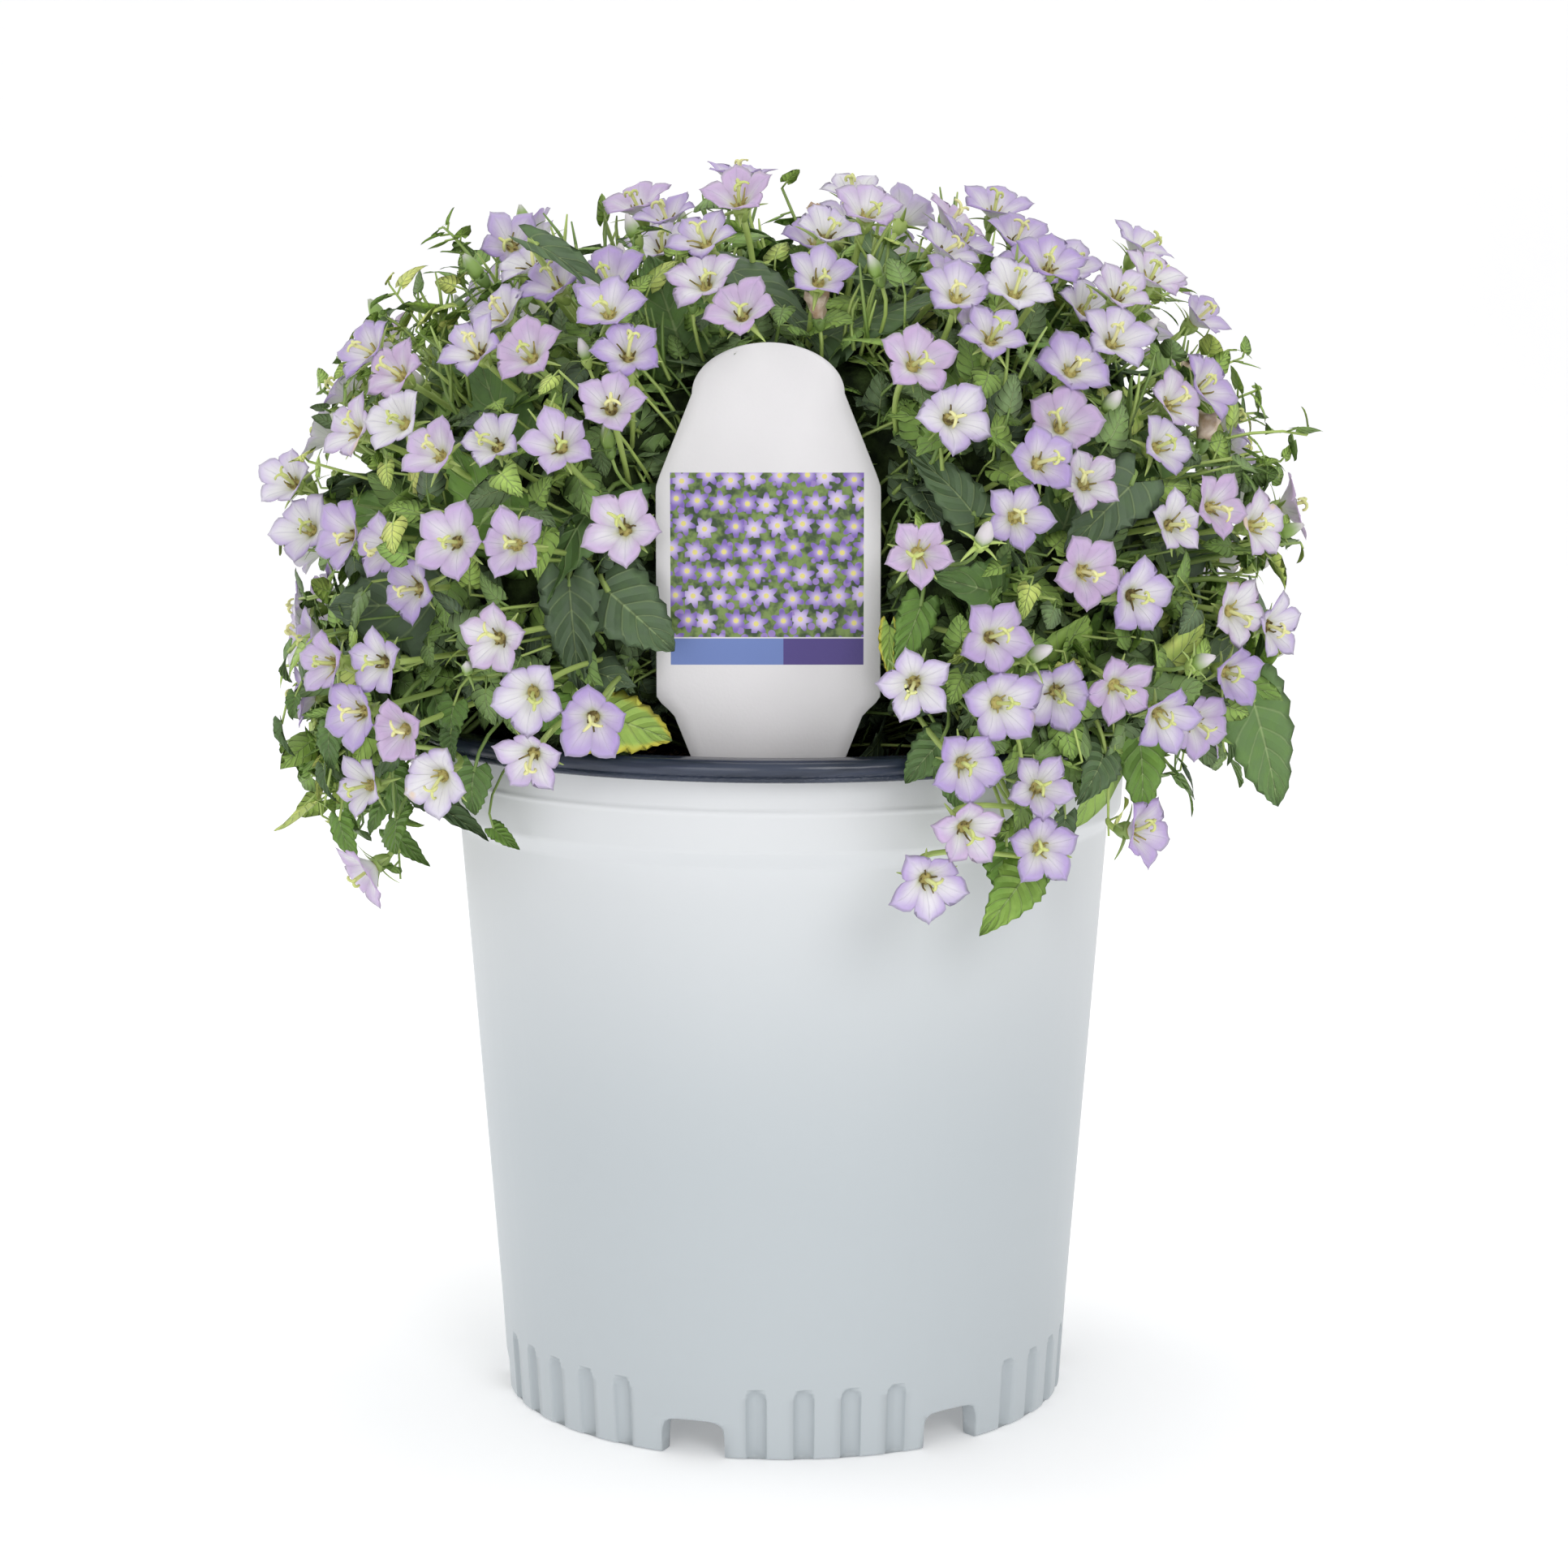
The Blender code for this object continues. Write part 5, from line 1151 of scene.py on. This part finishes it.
def bellSkin(side):
    # A lobe's outline at turn t is n + (1 - n) (1 - 0.62 t^0.55) sqrt(1 - t^4), with the notch n at t = 1.
    # Its height is the cup's, and each lobe is lifted, rolled, keeled, waved and bent back at its tip
    # a little its own way. One that would pass through another flower ends where it meets it
    count, lobes = len(side), bell["lobes"]
    turns = np.array(bell["turns"])
    t = np.tile([*turns, 1.0, *turns[:0:-1]], lobes)
    signed = np.tile([*turns, 1.0, *-turns[:0:-1]], lobes)
    steps = np.tile([*turns, 1.0, *(2 - turns[:0:-1])], lobes) / 2
    lobe = np.repeat(np.arange(lobes), 2 * len(turns))
    angle = (lobe + steps) * math.tau / lobes
    nearest = np.where(signed < 0, lobe + 1, lobe) % lobes
    q = np.array([*bell["reaches"], *bell["backs"]])[None, :, None]
    isBack = np.arange(q.size)[None, :, None] >= len(bell["reaches"])
    notch = draw.uniform(*bell["notch"], (count, 1, 1))
    shape = (1 - 0.62 * t**0.55) * np.sqrt(np.maximum(1 - t**4, 0))
    lift, roll, long, wave = (draw.uniform(-1, 1, (count, lobes))[:, None, nearest] for _ in range(4))
    own = 1 - t**2  # what a lobe does alone fades out at the notches
    opened = bell["open"] - bell["closing"] * draw.beta(1, 2.2, (count, 1, 1))
    spread = 1 - (1 - opened) * q
    recurve = draw.uniform(*bell["recurve"], (count, 1, 1))

    def spreadLobes(cut):
        out = q * (notch + (1 - notch) * shape) * (1 + 0.05 * (long - 1) * own * q**2) * (1 - cut * own * q)
        high = cupHeight(out) * (1.9 - 0.9 * spread)
        high = high + 0.08 * (lift - 0.4) * own * q**3 + 0.10 * roll * signed * own * q**3
        high = high + 0.07 * t * (1 - t) * 4 * q**2 * (1.1 - q)
        high = high + 0.03 * wave * np.sin(signed * 6) * own * q**3
        high = high - recurve * np.clip(q - 0.72, 0, 1) * (1 - t) - isBack * bell["thickness"]
        local = np.stack([out * spread * np.cos(angle), out * spread * np.sin(angle), high], -1)
        return settle(local, flowers["base"], side, flowers["axis"], flowers["radius"])

    cuts = lobeCuts(spreadLobes(0)[:, : len(bell["reaches"]), signed == 0])
    print("lobes shortened at a neighbour:", np.count_nonzero(cuts), "of", cuts.size)
    points = spreadLobes(cuts[:, None, nearest])
    reach = flowers["axis"] * flowers["radius"][:, None]
    ends = flowers["base"][:, None] + reach[:, None] * np.array([0.02, -bell["thickness"]])[:, None]
    tint, pink, age = draw.beta(1.8, 1.1, count), draw.uniform(0, 1, count), draw.uniform(0, 1, count)
    made = skin("openBells", points, petalFinish(), "petal_lilac", ends,
                reach=q, lobe=signed[None, None], tint=tint, pink=pink, age=age)
    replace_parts(made, *[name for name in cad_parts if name.startswith("blooms")])
    return age


def aboutAxis(base, side, axis, count, offset=0.63):
    # Directions round each axis, count of them, from its side, and base and axis once for each
    axes = np.repeat(axis, count, 0)
    turns = np.tile(np.arange(count) * math.tau / count, len(side)) + offset
    return swing(np.repeat(side, count, 0), axes, turns), axes, np.repeat(base, count, 0)


pistil = dict(
    lean=0.16, tall=(5.6, 7.2), radii=np.array([0.55, 0.48, 0.45, 0.48, 0.55]) * mm, curl=(2.2, 4.6),
    stigmaLong=(2.8, 3.7), stigmaRadii=np.linspace(0.5, 0.32, 6) * mm, stamenReach=(1.6, 3.2),
    stamenRadii=np.array([0.42, 0.3, 0.24, 0.2]) * mm, disc=((1.6, 0.5), (1.4, 1.1), (0.8, 1.4)),
)


def pistils(side, age):
    # A bent style with three curled stigma lobes, five withered stamens and the disc that they stand on.
    # A stigma lobe is an arc: forward sin(a) and outward 1 - cos(a), up to its own curl
    count = len(side)
    axis, base = flowers["axis"], flowers["base"]
    cream = plainFinish("styleCream", 0.5, (300, 2), (0.2, 0.8), ((196, 206, 122), (228, 226, 160)),
                        weight=0.4, fields=dict(tint=0.6))
    tan = plainFinish("stamenTan", 0.8, (400, 3), (0.55, 0.95), ((96, 82, 44), (176, 164, 98)),
                      fields=dict(tint=0.5))
    lean = unit(axis + pistil["lean"] * draw.normal(0, 1, (count, 3)))
    tall = draw.uniform(*pistil["tall"], (count, 1)) * mm
    top = base + lean * tall
    paths = bend(base + axis * 0.4 * mm, base + axis * tall * 0.5, top, 5)
    tint = draw.uniform(0, 1, count)
    skin("bellStyles", tube(paths, pistil["radii"], 5), cream, "petal_lilac", tint=tint)
    out, _, tops = aboutAxis(top, side, axis, 3, draw.uniform(0, 2))
    leans = np.repeat(lean, 3, 0)
    out = squared(out, leans)
    curl = draw.uniform(*pistil["curl"], (count * 3, 1))
    angle = np.linspace(0, 1, 6) * curl
    size = draw.uniform(*pistil["stigmaLong"], (count * 3, 1)) * mm / curl
    forward = leans[:, None] * (size * np.sin(angle))[..., None]
    paths = tops[:, None] - leans[:, None] * 0.2 * mm + forward
    paths = paths + out[:, None] * (size * (1 - np.cos(angle)))[..., None]
    skin("bellStigmas", tube(paths, pistil["stigmaRadii"], 4, np.cross(leans, out)), cream, "petal_lilac",
         tint=np.repeat(tint, 3))
    out, axes, bases = aboutAxis(base, side, axis, 5)
    reach = draw.uniform(*pistil["stamenReach"], (count * 5, 1)) * mm
    start = bases + axes * 0.5 * mm + out * 0.5 * mm
    middle = start + out * reach * 0.5 + axes * reach * draw.uniform(0.3, 1.1, (count * 5, 1))
    end = start + out * reach * draw.uniform(0.3, 0.9, (count * 5, 1)) + axes * reach
    end = end + draw.normal(0, 0.5, (count * 5, 3)) * mm
    skin("stamens", tube(bend(start, middle, end, 4), pistil["stamenRadii"], 3), tan, "petal_lilac",
         tint=np.repeat(age, 5))
    discs = settle(turned(pistil["disc"], 9), base, side, axis, np.ones(count))
    skin("nectarDiscs", discs, tan, "petal_lilac", tint=age * 0.6 + 0.4)


cup = dict(
    profile=((0.75, -3.6), (1.5, -2.5), (2.1, -0.9), (2.15, 0.4), (1.5, 0.75)), sides=7, sepals=5,
    sepalLong=(4.6, 6.6), lift=(-0.15, 0.75), sepalOut=1.7 * mm, sepalDown=0.2 * mm, sepalRings=5,
)


def calyx(name, base, side, axis, size, tint):
    # The green cup under a flower: a turned cone, and from its edge sepals of half width 0.12 (1 - v)^0.7
    each, count = cup["sepals"], cup["sepals"] * len(base)
    skin(name + "Cups", settle(turned(cup["profile"], cup["sides"]), base, side, axis, size), stemGreen,
         "leaf_green", tint=tint)
    out, axes, bases = aboutAxis(base, side, axis, each)
    sizes = np.repeat(size, each)
    along = unit(out + axes * draw.uniform(*cup["lift"], (count, 1)))
    face = squared(axes, along)
    v = np.linspace(0, 0.94, cup["sepalRings"])[:, None]
    half = 0.12 * (1 - v) ** 0.7 + 0.012
    wide, thick = np.array([(-1, 0), (0, 0.22), (1, 0), (0, -0.22)]).T
    local = np.stack([v + 0 * wide, half * wide, half * thick + (0.1 * v - 0.25 * v**2)], -1)
    length = draw.uniform(*cup["sepalLong"], count) * mm * sizes
    foot = bases + (out * cup["sepalOut"] - axes * cup["sepalDown"]) * sizes[:, None]
    points = settle(local, foot, along, face, length)
    tips = foot + along * length[:, None] - face * (0.15 * length)[:, None]
    skin(name + "Sepals", points, stemGreen, "leaf_green", np.stack([points[:, 0].mean(1), tips], 1),
         tint=np.repeat(tint, each))


stalk = dict(
    start=3.4 * mm, end=0.62, least=181 * mm, beside=32 * mm, lowUnder=172 * mm, bow=0.4, rise=1.5 * mm,
    overBehind=16 * mm, overHigh=8 * mm, radii=np.linspace(0.8, 0.6, 10) * mm,
)


def stalks():
    # From under each flower back along its axis, then down into the plant; at the rim, to the nearest shoot
    base, axis = flowers["base"], flowers["axis"]
    start = base - axis * stalk["start"]
    inside = shrink(base, stalk["end"])
    inside[:, 2] = np.maximum(inside[:, 2], stalk["least"])
    away = base[:, 0] - card["x"]
    beside = (np.abs(away) > room["labelSide"]) & (base[:, 1] < 0) & (base[:, 2] < room["labelTop"])
    wide = np.maximum(np.abs(inside[:, 0] - card["x"]), stalk["beside"])
    inside[:, 0] = np.where(beside, card["x"] + np.sign(away) * wide, inside[:, 0])
    low = base[:, 2] < stalk["lowUnder"]
    spots = trailPaths.reshape(-1, 3)
    inside[low] = spots[np.linalg.norm(base[low, None] - spots[None], axis=2).argmin(1)]
    bow = np.linalg.norm(base - inside, axis=1, keepdims=True) * stalk["bow"]
    middle = start - axis * bow + up * stalk["rise"]
    inside = inBay(inside)
    over = crossesLabel(bend(start, middle, inside, 10))  # these go back over the card's top first
    middle[over, 1] = card["y"] + stalk["overBehind"]
    middle[over, 2] = np.maximum(start[over, 2], card["top"] + stalk["overHigh"])
    paths = bend(start, middle, inside, 10)
    print("flower stalks through the label:", crossesLabel(paths).sum())
    skin("flowerStalks", tube(paths, stalk["radii"], 5), stemGreen, "leaf_green",
         tint=draw.uniform(0.5, 1, len(base)))


flowerSide = swing(across(flowers["axis"]), flowers["axis"], flowers["roll"])
pistils(flowerSide, bellSkin(flowerSide))
flowerTint = draw.uniform(0.4, 1, len(flowerSide))
calyx("flower", flowers["base"], flowerSide, flowers["axis"], np.ones(len(flowerSide)), flowerTint)
stalks()


# Buds and wilted bells

buds = dict(
    count=120, wilted=8, least=math.radians(-22), scale=(0.95, 1.05), size=(0.7, 1.0), stem=0.5 * mm,
    sides=10, calyx=0.85, ribs=0.1, closedRough=0.06, fadedRough=0.32,
    closed=((1.5, 0.3), (1.9, 1.8), (1.75, 3.6), (1.1, 5.4), (0.35, 6.9)),
    faded=((1.4, 0.3), (1.9, 1.6), (2.2, 3.2), (2.7, 4.8), (3.0, 6.2), (2.2, 7.2), (1.0, 7.0)),
)


def growBuds():
    # Closed buds and a few wilted bells: cups on thin stalks, each with a turned body of five low ribs
    count = buds["count"]
    azimuth, lift = evenOnDome(count, buds["least"])
    base = domePoint(azimuth + 2, lift, draw.uniform(*buds["scale"], count))
    axis = unit(domeNormal(base) * 0.8 + up * 0.6 + draw.normal(0, 0.3, (count, 3)))
    paths = bend(inBay(shrink(base, 0.7)), base - axis * 12 * mm, base - axis * 2.4 * mm, 7)
    clear = isFree(base[:, None] + axis[:, None] * np.array([-2, 3, 7])[:, None] * mm) & ~crossesLabel(paths)
    base, axis, paths = base[clear], axis[clear], paths[clear]
    count = len(base)
    skin("budStalks", tube(paths, buds["stem"], 4), stemGreen, "leaf_green", tint=draw.uniform(0.3, 1, count))
    size, side, tint = draw.uniform(*buds["size"], count), across(axis), draw.uniform(0, 1, count)
    calyx("bud", base, side, axis, size * buds["calyx"], tint)
    isWilted = np.arange(count) % (count // buds["wilted"]) == 3
    budGreen = plainFinish("budGreen", 0.5, (260, 2), (0.7, 1.4), ((134, 164, 84), (208, 202, 206)),
                           weight=0.2, fields=dict(tint=0.8, reach=1))
    wiltedTan = plainFinish("wiltedTan", 0.8, (240, 3), (0.3, 0.7), ((168, 138, 108), (222, 206, 190)),
                            (0.001, 240, 3))
    ribs = buds["ribs"] * np.cos(5 * np.arange(buds["sides"]) * math.tau / buds["sides"])
    for name, part, profile, rough, material in (
        ("closedBuds", ~isWilted, buds["closed"], buds["closedRough"], budGreen),
        ("wiltedBells", isWilted, buds["faded"], buds["fadedRough"], wiltedTan),
    ):
        lump = 1 + ribs + rough * draw.uniform(-1, 1, (part.sum(), len(profile), buds["sides"]))
        local = turned(profile, buds["sides"], lump)
        points = settle(local, base[part], side[part], axis[part], size[part])
        reach = np.linspace(0, 1, len(profile))[None, :, None]
        skin(name, points, material, "petal_lilac", reach=reach, tint=tint[part])


growBuds()


# Stage

stage = dict(
    width=5.0, front=-2.2, back=1.3, bend=0.9, height=3.2, lens=84.1, camera=(0, -0.912, 0.2826), tilt=81.9,
    sky=0.68, paperGlow=0.2, aim=(0, 0, 0.18),
)
lamps = dict(  # place, size and power
    key=((0.5, -1.5, 0.85), 0.7, 6.8), fill=((-0.6, -1.6, 0.35), 0.8, 3.6),
    rimLeft=((-1.1, 0.5, 0.6), 0.9, 3.0), rimRight=((1.1, 0.6, 0.7), 0.9, 0.8),
    top=((0.1, 0.1, 1.6), 0.9, 4.2),
)


def sweep():
    # A sheet whose height is 0 to the bend, then a quarter circle, then straight up
    angle = np.linspace(0, math.pi / 2, 24)
    curve = stage["bend"] * np.sin(angle)
    y = np.array([stage["front"], *(stage["back"] + curve), stage["back"] + stage["bend"]])
    z = np.array([0, *(stage["bend"] * (1 - np.cos(angle))), stage["height"]]) - 0.2 * mm
    x = np.array([-0.5, 0.5]) * stage["width"]
    points = np.stack(np.broadcast_arrays(x, y[:, None], z[:, None]), -1).reshape(-1, 3)
    row = np.arange(len(y) - 1)[:, None] * 2
    mesh = bpy.data.meshes.new("sweep")
    mesh.from_pydata(points.tolist(), [], (row + [0, 1, 3, 2]).tolist())
    mesh.shade_smooth()
    made = bpy.data.objects.new("sweep", mesh)
    bpy.context.scene.collection.objects.link(made)
    paper = Finish("palePaper", 0.8, Emission_Color=(1, 1, 1, 1), Emission_Strength=stage["paperGlow"])
    paper.feed(Base_Color=paper.noise(3, 2).rise(0.2, 0.8).mix(ink(245, 245, 246), ink(249, 249, 250)))
    mesh.materials.append(paper.material)


def stand(name, data, place, turn):
    holder = bpy.data.objects.new(name, data)
    holder.location = place
    holder.rotation_euler = turn
    bpy.context.scene.collection.objects.link(holder)
    return holder


def studio():
    sweep()
    world = bpy.data.worlds.new("paleWorld")
    world.use_nodes = True
    background = world.node_tree.nodes["Background"]
    background.inputs["Color"].default_value = (1, 1, 1, 1)
    background.inputs["Strength"].default_value = stage["sky"]
    bpy.context.scene.world = world
    for name, (place, size, power) in lamps.items():
        lamp = bpy.data.lights.new(name, "AREA")
        lamp.shape = "DISK"
        lamp.size = size
        lamp.energy = power
        x, y, z = np.array(stage["aim"]) - np.array(place)
        stand(name, lamp, place, (math.atan2(math.hypot(x, y), -z), 0, math.atan2(-x, y)))
    camera = bpy.data.cameras.new("camera")
    camera.lens = stage["lens"]
    bpy.context.scene.camera = stand("camera", camera, stage["camera"], (math.radians(stage["tilt"]), 0, 0))
    bpy.context.scene.view_settings.view_transform = "Standard"
    print("studio with", len(lamps), "lamps")


studio()
